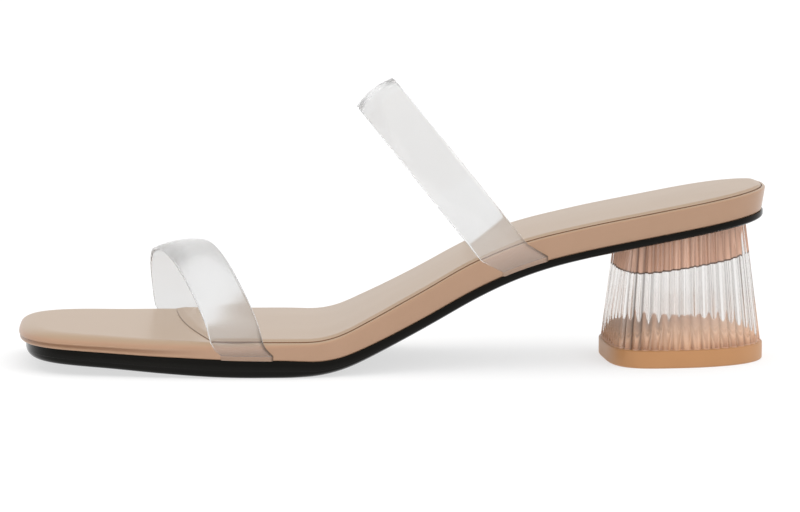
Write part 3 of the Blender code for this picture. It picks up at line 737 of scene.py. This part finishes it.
def layered_body(layers):
    """Closed body from a stack of equal grids: the first is its bottom and the last its top."""
    rows = len(layers[0])
    columns = len(layers[0][0])
    vertices = [tuple(v) for layer in layers for line in layer for v in line]
    size = rows * columns

    def at(level, i, j):
        return level * size + i * columns + j

    faces = []
    top = len(layers) - 1
    for i in range(rows - 1):
        for j in range(columns - 1):
            faces.append((at(0, i, j), at(0, i, j + 1), at(0, i + 1, j + 1), at(0, i + 1, j)))
            faces.append((at(top, i, j), at(top, i + 1, j), at(top, i + 1, j + 1), at(top, i, j + 1)))
    rim = [(0, j) for j in range(columns)]
    rim += [(i, columns - 1) for i in range(1, rows)]
    rim += [(rows - 1, j) for j in range(columns - 2, -1, -1)]
    rim += [(i, 0) for i in range(rows - 2, 0, -1)]
    for level in range(top):
        for k, (i, j) in enumerate(rim):
            m, n = rim[(k + 1) % len(rim)]
            faces.append((at(level, i, j), at(level, m, n), at(level + 1, m, n), at(level + 1, i, j)))
    return vertices, faces


def make_outsole(plan, material):
    """Glossy outsole: an upright band above a fine step, and a rounded band below it."""
    def inset(x):
        toe = max(1.0 - x / TOE_ROUND, 0.0)
        return OUTSOLE_INSET + OUTSOLE_TOE_INSET * toe * toe

    rings = []
    for turn in quarter_turns(EDGE_STEPS):
        rings.append(sole_ring(
            plan,
            lambda x: inset(x) + SOLE_BAND_STEP + bevel_in(x) * (1.0 - math.sin(turn)),
            lambda x, y: bevel_up(x) * (1.0 - math.cos(turn))))
    for step, share in SOLE_STEP_ROWS:
        rings.append(sole_ring(
            plan, lambda x: inset(x) + step * SOLE_BAND_STEP, lambda x, y: bevel_up(x) * share))
    for turn in quarter_turns(TOP_EDGE_STEPS):
        rings.append(sole_ring(
            plan,
            lambda x: inset(x) + SOLE_TOP_EDGE * (1.0 - math.cos(turn)),
            lambda x, y: outsole_thick(x) - OUTSOLE_GAP - SOLE_TOP_EDGE * (1.0 - math.sin(turn))))
    vertices, faces = ring_body(rings)
    size = len(plan)
    last = len(vertices) - size
    rung_fill(vertices, faces, 0, size, OUTSOLE_COLUMNS, lambda x, y: 0.0)
    rung_fill(vertices, faces, last, size)
    return make_piece("outsole_unit", on_sole(vertices), faces, [material])


def spline_points(points, steps):
    """Smooth curve through all points but the first and last, which only give its end directions."""
    p = [np.array(q, float) for q in points]
    knots = [0.0]
    for a, b in zip(p, p[1:]):
        knots.append(knots[-1] + math.sqrt(max(np.linalg.norm(b - a), SHORTEST_STEP)))
    span = knots[-2] - knots[1]
    out = []
    for n in range(steps + 1):
        t = knots[1] + span * n / steps
        i = 1
        while i < len(p) - 3 and t > knots[i + 1]:
            i += 1
        t0, t1, t2, t3 = knots[i - 1:i + 3]
        a1 = (t1 - t) / (t1 - t0) * p[i - 1] + (t - t0) / (t1 - t0) * p[i]
        a2 = (t2 - t) / (t2 - t1) * p[i] + (t - t1) / (t2 - t1) * p[i + 1]
        a3 = (t3 - t) / (t3 - t2) * p[i + 1] + (t - t2) / (t3 - t2) * p[i + 2]
        b1 = (t2 - t) / (t2 - t0) * a1 + (t - t0) / (t2 - t0) * a2
        b2 = (t3 - t) / (t3 - t1) * a2 + (t - t1) / (t3 - t1) * a3
        out.append((t2 - t) / (t2 - t1) * b1 + (t - t1) / (t2 - t1) * b2)
    return out


def strap_axes(pitch, skew):
    """Directions across the band, along its arch, and up its arch."""
    b = math.radians(pitch)
    s = math.radians(skew)
    across = np.array([math.cos(b) * math.cos(s), math.cos(b) * math.sin(s), math.sin(b)])
    along = np.array([-math.sin(s), math.cos(s), 0.0])
    up = np.cross(across, along)
    return across, along, up


def wall_point(plane_point, along, up, side, clear):
    """Where the plane of the arch meets the top edge of the footbed, `clear` outside its wall."""
    y = side * half_width(plane_point[0], side)
    z = 0.0
    for _ in range(SETTLE_ROUNDS):
        p = plane_point + along * y + up * z
        goal_y = side * (half_width(p[0], side) + clear)
        goal_z = sole_height(p[0], sole_thick(p[0]))
        y += (goal_y - p[1]) / along[1]
        z += (goal_z - p[2]) / up[2]
    return plane_point + along * y + up * z


def strap_end(top, side, run):
    """Band's middle line from the tucked end round the wall's bottom edge, up to the wall's side."""
    clear = JOINT_GAP + 0.5 * STRAP_THICK
    x = top[0] + run
    lean = max(wall_lean(x) - WALL_SLOPE * (STRAP_BEND + STRAP_THICK), 0.0)
    foot = np.array([x, side * (half_width(x, side) - lean + clear), sole_height(x, outsole_thick(x))])
    bend = STRAP_BEND + 0.5 * STRAP_THICK
    inward = np.array([0.0, -side, 0.0])
    upward = np.array([0.0, 0.0, 1.0])
    floor = foot + upward * 0.5 * STRAP_THICK / tilt(x)
    points = [floor + inward * STRAP_TUCK]
    centre = floor + inward * bend + upward * bend
    for turn in quarter_turns(BEND_STEPS):
        points.append(centre - inward * (bend * math.sin(turn)) - upward * (bend * math.cos(turn)))
    x = top[0] + run * soft_down(top[0]) / footbed_thick(top[0])
    side_y = side * (half_width(x, side) + clear)
    side_z = sole_height(x, sole_thick(x) - soft_down(x))
    points.append(np.array([x, side_y, side_z]))
    return points


def strap_line(strap, arch, offset):
    """Middle line of the band in one plane across it, from the outer to the inner tucked end."""
    place, _, height, pitch, skew, run = strap
    across, along, up = strap_axes(pitch, skew)
    clear = JOINT_GAP + 0.5 * STRAP_THICK
    seat = np.array([place, 0.0, sole_height(place, sole_thick(place))])
    plane_point = seat + across * offset
    outer_top = wall_point(plane_point, along, up, -1, clear)
    inner_top = wall_point(plane_point, along, up, 1, clear)
    outer_end = strap_end(outer_top, -1, run)
    inner_end = strap_end(inner_top, 1, run)
    y0 = float((outer_top - plane_point) @ along)
    y1 = float((inner_top - plane_point) @ along)
    z0 = float((outer_top - plane_point) @ up)
    z1 = float((inner_top - plane_point) @ up)
    rows = []
    for share, rise in arch:
        y = y0 + (y1 - y0) * share
        z = (z0 + (z1 - z0) * share) * (1.0 - rise) + height * rise
        rows.append(plane_point + along * y + up * z)
    chain = [outer_end[-1], outer_top] + rows + [inner_top, inner_end[-1]]
    return outer_end + spline_points(chain, STRAP_ARCH_STEPS) + inner_end[::-1]


def squared_corners(count):
    """How far the band's outside is pushed out along its line, to square its bends at the wall's foot."""
    bend = STRAP_BEND + STRAP_THICK
    squared = [0.0] * count
    for step, turn in enumerate(quarter_turns(BEND_STEPS)):
        corner = STRAP_CORNER * bend * (1.0 / max(math.cos(turn), math.sin(turn)) - 1.0)
        squared[1 + step] = corner
        squared[count - 2 - step] = corner
    return squared


def band_shade(end, u):
    """Painted shade of a band, a dark line along one side and a darker foot, at the share `u` across it,
    `end` away from where its tucked end comes out.
    """
    side = STRAP_SHADE * (1.0 - ease(end / STRAP_SHADE_REACH))
    side *= ease((u - 1.0 + STRAP_SHADE_WIDTH) / STRAP_SHADE_WIDTH)
    foot = STRAP_FOOT_SHADE * (1.0 - ease(end / STRAP_FOOT_REACH))
    return max(side, foot)


def make_strap(name, strap, arch, material):
    """Clear band: flat inside, slightly crowned outside, with thin rounded sides, and painted shade at its
    feet and along one side near them.
    """
    width = strap[STRAP_COLUMNS.index("width")]
    shares = [-math.cos(math.pi * k / STRAP_CROSS_STEPS) for k in range(STRAP_CROSS_STEPS + 1)]
    middle = len(shares) // 2
    grid = np.array([strap_line(strap, arch, 0.5 * width * u) for u in shares])
    count = grid.shape[1]
    normal = np.cross(np.gradient(grid, axis=1), np.gradient(grid, axis=0))
    normal /= np.linalg.norm(normal, axis=2, keepdims=True)
    if normal[middle, count // 2, 2] < 0.0:
        normal = -normal
    walked = walked_lengths(grid[middle])
    squared = squared_corners(count)
    sections = []
    shades = []
    for j in range(count):
        end = min(walked[j], walked[-1] - walked[j]) - STRAP_TUCK
        crowned = ease(end / STRAP_FLAT_END)
        outer = []
        inner = []
        for k, u in enumerate(shares):
            near_side = max((abs(u) - 1.0 + STRAP_ROUND) / STRAP_ROUND, 0.0)
            rounding = math.sqrt(max(1.0 - near_side * near_side, 0.0))
            crown = crowned * (STRAP_CROWN - (STRAP_CROWN + STRAP_SIDE) * u * u)
            outer.append(grid[k, j] + normal[k, j] * (0.5 * STRAP_THICK + crown + squared[j]) * rounding)
            inner.append(grid[k, j] - normal[k, j] * 0.5 * STRAP_THICK * rounding)
        sections.append([to_world(*p) for p in outer + inner[-2:0:-1]])
        across = [band_shade(end, u) for u in shares]
        shades += across + across[-2:0:-1]
    vertices, faces = ring_body(sections)
    size = len(sections[0])
    faces.append(tuple(range(size)))
    faces.append(tuple(range(len(vertices) - size, len(vertices))))
    return make_piece(
        name, vertices, faces, [material], smooth_angle=BAND_SMOOTH_ANGLE, shades=shades)


def heel_outline(length, width, middle, flute=0.0):
    """Outline of the heel at one level: flat front, round back, turned by the heel's yaw."""
    count = FLUTE_COUNT * FLUTE_STEPS
    front = HEEL_FRONT_SHARE * length
    back = length - front
    rough = []
    for i in range(count + 1):
        a = 2.0 * math.pi * i / count
        ahead = math.cos(a) > 0
        power = HEEL_BACK_SQUARENESS if ahead else HEEL_FRONT_SQUARENESS
        reach = back if ahead else front
        u = reach * math.copysign(abs(math.cos(a)) ** (2.0 / power), math.cos(a))
        v = 0.5 * width * math.copysign(abs(math.sin(a)) ** (2.0 / power), math.sin(a))
        rough.append((u + front - 0.5 * length, v))
    p = np.array(rough)
    walked = walked_lengths(p)
    goals = walked[-1] * np.arange(count) / count
    even = np.stack([np.interp(goals, walked, p[:, 0]), np.interp(goals, walked, p[:, 1])], axis=1)
    chord = np.roll(even, -FLUTE_STEPS // 2, axis=0) - np.roll(even, FLUTE_STEPS // 2, axis=0)
    chord /= np.linalg.norm(chord, axis=1, keepdims=True)
    phase = (np.arange(count) % FLUTE_STEPS) / FLUTE_STEPS
    depth = 0.5 * flute * (1.0 + np.cos(2.0 * math.pi * phase))
    even[:, 0] -= depth * chord[:, 1]
    even[:, 1] += depth * chord[:, 0]
    yaw = math.radians(HEEL_YAW)
    x = middle + even[:, 0] * math.cos(yaw) - even[:, 1] * math.sin(yaw)
    y = HEEL_OFFSET + even[:, 0] * math.sin(yaw) + even[:, 1] * math.cos(yaw)
    return list(zip(x.tolist(), y.tolist()))


def foot_outline(inset=0.0, flute=0.0):
    """Outline of the heel's foot, `inset` inside its own size."""
    small = 2.0 * inset
    return heel_outline(HEEL_FOOT_LENGTH - small, HEEL_FOOT_WIDTH - small, HEEL_FOOT_MIDDLE, flute)


def top_outline(inset=0.0, flute=0.0):
    """Outline of the heel at the seat, `inset` inside its own size."""
    small = 2.0 * inset
    return heel_outline(HEEL_TOP_LENGTH - small, HEEL_TOP_WIDTH - small, HEEL_TOP_MIDDLE, flute)


def hub_faces(vertices, faces, start, size):
    """Close a ring with triangles to a point in its middle."""
    ring = vertices[start:start + size]
    vertices.append(tuple(sum(v[k] for v in ring) / size for k in range(3)))
    hub = len(vertices) - 1
    for i in range(size):
        faces.append((start + i, start + (i + 1) % size, hub))


def bending(ring):
    """How sharply a closed outline bends over one flute at each of its points, as shares of the most."""
    p = np.array(ring)
    ahead = np.roll(p, -FLUTE_STEPS, axis=0) - p
    behind = p - np.roll(p, FLUTE_STEPS, axis=0)
    turns = np.abs(ahead[:, 0] * behind[:, 1] - ahead[:, 1] * behind[:, 0])
    return (turns / turns.max()).tolist()


def pocket_floor(x):
    """Height of the pocket's floor, which falls away from the seat towards the back."""
    back = (x - HEEL_TOP_MIDDLE) / HEEL_TOP_LENGTH + 0.5
    return underside(x) - POCKET_DEPTH - POCKET_DROP * back


def recess_rings(bottom, grooves):
    """Rings of the hollow over the lift, from high inside the heel down to its mouth, and their painted
    shade in the grooves.
    """
    rings = []
    shades = []
    for turn in reversed(quarter_turns(RECESS_STEPS + 1)[:-1]):
        fade = 1.0 - math.sin(turn)
        share = RECESS_SHARE * math.cos(turn)
        plan = heel_outline(
            HEEL_FOOT_LENGTH * share, HEEL_FOOT_WIDTH * share, HEEL_FOOT_MIDDLE, RECESS_LOBES * fade)
        rings.append([to_world(x, y, bottom + RECESS_HEIGHT * math.sin(turn)) for x, y in plan])
        shades += [GROOVE_SHADE * fade * groove for groove in grooves]
    return rings, shades


def make_heel(clear, plug, recess, edge):
    """Clear fluted block: a pocket in its top shows the plug, with a painted shadow at its lower edge, and
    its foot is hollow.
    """
    clear_slot, plug_slot, recess_slot, painted_shadow_slot = range(4)
    foot = foot_outline(flute=SOFT_FLUTE_DEPTH)
    top = top_outline(flute=SOFT_FLUTE_DEPTH)
    pocket = top_outline(POCKET_RIM, PLUG_LOBES)
    bottom = LIFT_HEIGHT + HEEL_GAP
    size = len(foot)
    grooves = [0.5 + 0.5 * math.cos(2.0 * math.pi * i / FLUTE_STEPS) for i in range(size)]
    rings, shades = recess_rings(bottom, grooves)
    slots = [recess_slot] * (len(rings) * size)
    rings += [
        [to_world(x, y, bottom) for x, y in foot],
        [to_world(x, y, underside(x) - HEEL_GAP) for x, y in top],
        [to_world(x, y, underside(x) - HEEL_GAP) for x, y in pocket],
        [to_world(x, y, pocket_floor(x) - JOINT_GAP + PLUG_EDGE) for x, y in pocket],
        [to_world(x, y, pocket_floor(x) - JOINT_GAP) for x, y in pocket],
    ]
    # The lowest band of the pocket's wall is a painted shadow at the plug's lower edge
    slots += [clear_slot] * (2 * size) + [plug_slot] * size + [painted_shadow_slot] * size
    # Painted dark streaks in the flute grooves, strongest where the outline bends
    streaks = [
        STREAK_SHADE * groove ** STREAK_SHARPNESS * (STREAK_EVEN + (1.0 - STREAK_EVEN) * bend)
        for groove, bend in zip(grooves, bending(foot_outline()))
    ]
    # Painted streaks on the block's foot and top rings, painted shade in the pocket's grooves
    shades += streaks * 2 + [GROOVE_SHADE * groove for groove in grooves] * 3
    vertices, faces = ring_body(rings)
    last = len(vertices) - size
    hub_faces(vertices, faces, 0, size)
    hub_faces(vertices, faces, last, size)
    slots += [recess_slot] * size + [plug_slot] * size
    shades += [0.0] * (len(vertices) - len(shades))
    return make_piece(
        "heel_clear", vertices, faces, [clear, plug, recess, edge],
        slots=slots, smooth_angle=HEEL_SMOOTH_ANGLE, shades=shades)


def make_lift(material):
    """Top lift under the heel, with a rounded lower edge and a softened upper one."""
    levels = []
    for turn in quarter_turns(EDGE_STEPS):
        levels.append((LIFT_EDGE * (1.0 - math.sin(turn)), LIFT_EDGE * (1.0 - math.cos(turn))))
    for turn in quarter_turns(TOP_EDGE_STEPS):
        height = LIFT_HEIGHT - LIFT_TOP_EDGE * (1.0 - math.sin(turn))
        levels.append((LIFT_TOP_EDGE * (1.0 - math.cos(turn)), height))
    rings = []
    for inset, height in levels:
        rings.append([to_world(x, y, height) for x, y in foot_outline(inset - LIFT_MARGIN)])
    vertices, faces = ring_body(rings)
    size = len(rings[0])
    last = len(vertices) - size
    hub_faces(vertices, faces, 0, size)
    hub_faces(vertices, faces, last, size)
    return make_piece("lift_block", vertices, faces, [material])


def principled(name, colour, roughness, **sockets):
    """New material with its shader's own sockets set."""
    material = bpy.data.materials.new(name)
    material.use_nodes = True
    shader = material.node_tree.nodes["Principled BSDF"]
    shader.inputs["Base Color"].default_value = (*colour, 1.0)
    shader.inputs["Roughness"].default_value = roughness
    for socket, value in sockets.items():
        shader.inputs[socket.replace("_", " ")].default_value = value
    return material, shader


def new_node(tree, kind, **settings):
    """Shader node of a kind, with its settings."""
    node = tree.nodes.new(kind)
    for key, value in settings.items():
        setattr(node, key, value)
    return node


def object_places(tree):
    """Output of the places in the object's own frame."""
    return new_node(tree, "ShaderNodeTexCoord").outputs["Object"]


def mixed(tree, factor, first, second):
    """Output of a mix of two colours, each given as three numbers or as an output."""
    mix = new_node(tree, "ShaderNodeMix", data_type="RGBA")
    for socket, colour in (("A", first), ("B", second)):
        if isinstance(colour, tuple):
            mix.inputs[socket].default_value = (*colour, 1.0)
        else:
            tree.links.new(colour, mix.inputs[socket])
    tree.links.new(factor, mix.inputs["Factor"])
    return mix.outputs["Result"]


def smooth_part(tree, vector, axis, low, high):
    """Output that goes smoothly from 0 to 1 while one part of a vector goes from `low` to `high`."""
    parts = new_node(tree, "ShaderNodeSeparateXYZ")
    fade = new_node(tree, "ShaderNodeMapRange", interpolation_type="SMOOTHSTEP")
    fade.inputs["From Min"].default_value = low
    fade.inputs["From Max"].default_value = high
    tree.links.new(vector, parts.inputs["Vector"])
    tree.links.new(parts.outputs[axis], fade.inputs["Value"])
    return fade.outputs["Result"]


def grain(tree, shader, size, strength, depth):
    """Fine grain: small cells broken up by noise, as bump."""
    place = object_places(tree)
    cells = new_node(tree, "ShaderNodeTexVoronoi", feature="SMOOTH_F1")
    cells.inputs["Scale"].default_value = 1.0 / size
    noise = new_node(tree, "ShaderNodeTexNoise")
    noise.inputs["Scale"].default_value = GRAIN_NOISE_SHARE / size
    noise.inputs["Detail"].default_value = GRAIN_DETAIL
    both = new_node(tree, "ShaderNodeMath", operation="ADD")
    bump = new_node(tree, "ShaderNodeBump")
    bump.inputs["Strength"].default_value = strength
    bump.inputs["Distance"].default_value = depth
    tree.links.new(place, cells.inputs["Vector"])
    tree.links.new(place, noise.inputs["Vector"])
    tree.links.new(cells.outputs["Distance"], both.inputs[0])
    tree.links.new(noise.outputs["Fac"], both.inputs[1])
    tree.links.new(both.outputs["Value"], bump.inputs["Height"])
    tree.links.new(bump.outputs["Normal"], shader.inputs["Normal"])


def mottle(tree, light, dark, size):
    """Output of soft blotches between two close colours."""
    noise = new_node(tree, "ShaderNodeTexNoise")
    noise.inputs["Scale"].default_value = 1.0 / size
    noise.inputs["Detail"].default_value = MOTTLE_DETAIL
    tree.links.new(object_places(tree), noise.inputs["Vector"])
    return mixed(tree, noise.outputs["Fac"], light, dark)


def darkened(tree, colour, dark):
    """Output of a colour that goes towards `dark` by the mesh's shades."""
    shade = new_node(tree, "ShaderNodeAttribute", attribute_name=SHADE_LAYER)
    return mixed(tree, shade.outputs["Fac"], colour, dark)


def painted_sheen_top(tree, colour, top):
    """Output of a colour that goes towards `top` where the surface faces up: a painted sheen."""
    normal = new_node(tree, "ShaderNodeNewGeometry").outputs["Normal"]
    return mixed(tree, smooth_part(tree, normal, "Z", PAINTED_SHEEN_FROM, PAINTED_SHEEN_FULL), colour, top)


def leather_material(name, light, dark, blotch, roughness, top=None):
    """Grained leather that darkens to the seam line's colour, also used for painted shade; `top` is its
    colour where it faces up, a painted sheen.
    """
    material, shader = principled(name, light, roughness, Specular_IOR_Level=LEATHER_SPECULAR)
    tree = material.node_tree
    colour = mottle(tree, light, dark, blotch)
    if top is not None:
        colour = painted_sheen_top(tree, colour, top)
    tree.links.new(darkened(tree, colour, SEAM_AND_PAINTED_SHADE_COLOUR), shader.inputs["Base Color"])
    grain(tree, shader, LEATHER_GRAIN_SIZE, LEATHER_GRAIN_STRENGTH, LEATHER_GRAIN_DEPTH)
    return material


def faded_material(name, low_colour, high_colour, low, high, roughness):
    """Colour that fades with the height from `low` to `high`, with painted shade in its grooves."""
    material, shader = principled(name, low_colour, roughness)
    tree = material.node_tree
    fade = smooth_part(tree, object_places(tree), "Z", low, high)
    colour = mixed(tree, fade, low_colour, high_colour)
    tree.links.new(darkened(tree, colour, GROOVE_COLOUR), shader.inputs["Base Color"])
    return material


def clear_material(name, colour, shade, roughness, clear, index):
    """Clear plastic that darkens to `shade` by the mesh's shades, which are painted shade and painted dark
    refraction.
    """
    material, shader = principled(name, colour, roughness, Transmission_Weight=clear, IOR=index)
    tree = material.node_tree
    tree.links.new(darkened(tree, colour, shade), shader.inputs["Base Color"])
    return material


def plain_material(name, light, dark, blotch, roughness, bump, specular=PLAIN_SPECULAR, groove=None):
    """Plastic or rubber with faint blotches; `groove` is the colour of the painted shade in its grooves.
    """
    material, shader = principled(name, light, roughness, Specular_IOR_Level=specular)
    tree = material.node_tree
    colour = mottle(tree, light, dark, blotch)
    if groove is not None:
        colour = darkened(tree, colour, groove)
    tree.links.new(colour, shader.inputs["Base Color"])
    grain(tree, shader, PLAIN_GRAIN_SIZE, bump, PLAIN_GRAIN_DEPTH)
    return material


# The footbed's top takes the sock's colour where it faces up: a painted sheen
footbed_material = leather_material(
    "wrapped_leather", LEATHER_LIGHT, LEATHER_DARK, blotch=0.012, roughness=0.30, top=SOCK_LIGHT)
sock_material = leather_material(
    "sock_leather", SOCK_LIGHT, SOCK_DARK, blotch=0.015, roughness=0.28)
outsole_material = plain_material(
    "black_sole", OUTSOLE_COLOUR, OUTSOLE_WORN, blotch=0.01, roughness=0.16, bump=0.1, specular=0.11)
plug_material = plain_material(
    "nude_plug", PLUG_LIGHT, PLUG_DARK, blotch=0.006, roughness=0.40, bump=0.1, groove=GROOVE_COLOUR)
lift_material = plain_material(
    "nude_lift", LIFT_LIGHT, LIFT_DARK, blotch=0.008, roughness=0.42, bump=0.2)
recess_material = faded_material(
    "nude_recess", RECESS_LOW_COLOUR, RECESS_TOP_COLOUR,
    low=LIFT_HEIGHT, high=LIFT_HEIGHT + RECESS_HEIGHT, roughness=0.5)
plug_shadow_material, _ = principled("plug_painted_shadow", PLUG_EDGE_PAINTED_SHADOW_COLOUR, roughness=0.5)
front_material = clear_material(
    "clear_front_band", FRONT_COLOUR, BAND_SHADE, roughness=0.14, clear=0.96, index=BAND_INDEX)
rear_material = clear_material(
    "clear_rear_band", REAR_COLOUR, BAND_SHADE, roughness=0.09, clear=0.935, index=BAND_INDEX)
acrylic_material = clear_material(
    "clear_acrylic", ACRYLIC_COLOUR, STREAK_COLOUR, roughness=0.12, clear=1.0, index=ACRYLIC_INDEX)

plan = plan_ring()
footbed = make_footbed(plan, footbed_material)
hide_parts("footbed")

sock = make_sock(sock_material)
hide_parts("insole_sock")

outsole = make_outsole(plan, outsole_material)
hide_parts("outsole")

front_band = make_strap("front_band", FRONT_STRAP, FRONT_ARCH, front_material)
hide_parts("front_strap")

rear_band = make_strap("rear_band", REAR_STRAP, REAR_ARCH, rear_material)
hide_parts("rear_strap")

heel = make_heel(acrylic_material, plug_material, recess_material, plug_shadow_material)
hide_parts("heel_block")

lift = make_lift(lift_material)
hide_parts("top_lift")

# Light passes through the clear pieces onto what lies behind them
for clear_piece in (front_band, rear_band, heel):
    clear_piece.visible_shadow = False
    clear_piece.visible_diffuse = False

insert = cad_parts["heel_insert"]
for slot in insert.material_slots:
    slot.material = plug_material

# Floor, white backdrop behind the shoe and dim room in front of it
bpy.ops.mesh.primitive_plane_add(size=FLOOR_SIZE, location=(0.0, 0.0, 0.0))
floor = bpy.context.object
floor.name = "floor"
floor_material, _ = principled(
    "white_floor", FLOOR_COLOUR, FLOOR_ROUGHNESS, Specular_IOR_Level=FLOOR_SPECULAR,
    Emission_Color=(*WHITE, 1.0), Emission_Strength=FLOOR_GLOW)
floor.data.materials.append(floor_material)

world = bpy.data.worlds.new("studio")
world.use_nodes = True
studio = world.node_tree
background = studio.nodes["Background"]
background.inputs["Strength"].default_value = 1.0
directions = new_node(studio, "ShaderNodeTexCoord").outputs["Generated"]
backdrop = smooth_part(studio, directions, "Y", BACKDROP_FROM, BACKDROP_FULL)
studio.links.new(mixed(studio, backdrop, ROOM_DIM, WHITE), background.inputs["Color"])
scene = bpy.context.scene
scene.world = world


def soft_light(name, place, aim, size, power):
    """Round lamp that lights the shoe and doesn't show in what is glossy."""
    data = bpy.data.lights.new(name, "AREA")
    data.shape = "DISK"
    data.size = size
    data.energy = power
    lamp = bpy.data.objects.new(name, data)
    lamp.location = place
    lamp.rotation_euler = (Vector(aim) - Vector(place)).to_track_quat("-Z", "Y").to_euler()
    lamp.visible_glossy = False
    scene.collection.objects.link(lamp)


# Daylight from above and two soft lamps
sun_data = bpy.data.lights.new("overhead", "SUN")
sun_data.energy = SUN_POWER
sun_data.angle = math.radians(SUN_SOFTNESS)
sun = bpy.data.objects.new("overhead", sun_data)
sun.rotation_euler = Vector(SUN_FROM).to_track_quat("Z", "Y").to_euler()
sun.visible_glossy = False
scene.collection.objects.link(sun)
soft_light("right_front", place=(1.3, -1.2, 0.9), aim=(0.0, 0.0, 0.03), size=0.9, power=3.0)
soft_light("low_front", place=(-0.25, -0.50, 0.05), aim=(0.085, 0.0, 0.02), size=0.2, power=0.7)

azimuth = math.radians(CAMERA_AZIMUTH)
elevation = math.radians(CAMERA_ELEVATION)
direction = Vector((
    math.sin(azimuth) * math.cos(elevation),
    -math.cos(azimuth) * math.cos(elevation),
    math.sin(elevation),
))
camera_data = bpy.data.cameras.new("camera")
camera_data.sensor_width = CAMERA_SENSOR
camera_data.lens = CAMERA_SENSOR * PIXELS_PER_METRE * CAMERA_DISTANCE / IMAGE_WIDTH
camera_data.clip_end = CAMERA_FAR
camera = bpy.data.objects.new("camera", camera_data)
camera.location = Vector(CAMERA_AIM) + direction * CAMERA_DISTANCE
camera.rotation_euler = direction.to_track_quat("Z", "Y").to_euler()
scene.collection.objects.link(camera)
scene.camera = camera

scene.view_settings.view_transform = "Standard"
scene.view_settings.look = "None"
scene.cycles.max_bounces = CLEAR_BOUNCES
scene.cycles.transmission_bounces = CLEAR_BOUNCES
scene.cycles.glossy_bounces = GLOSSY_BOUNCES
scene.cycles.diffuse_bounces = DIFFUSE_BOUNCES
scene.cycles.transparent_max_bounces = GLOSSY_BOUNCES
scene.cycles.sample_clamp_indirect = BRIGHTEST_INDIRECT
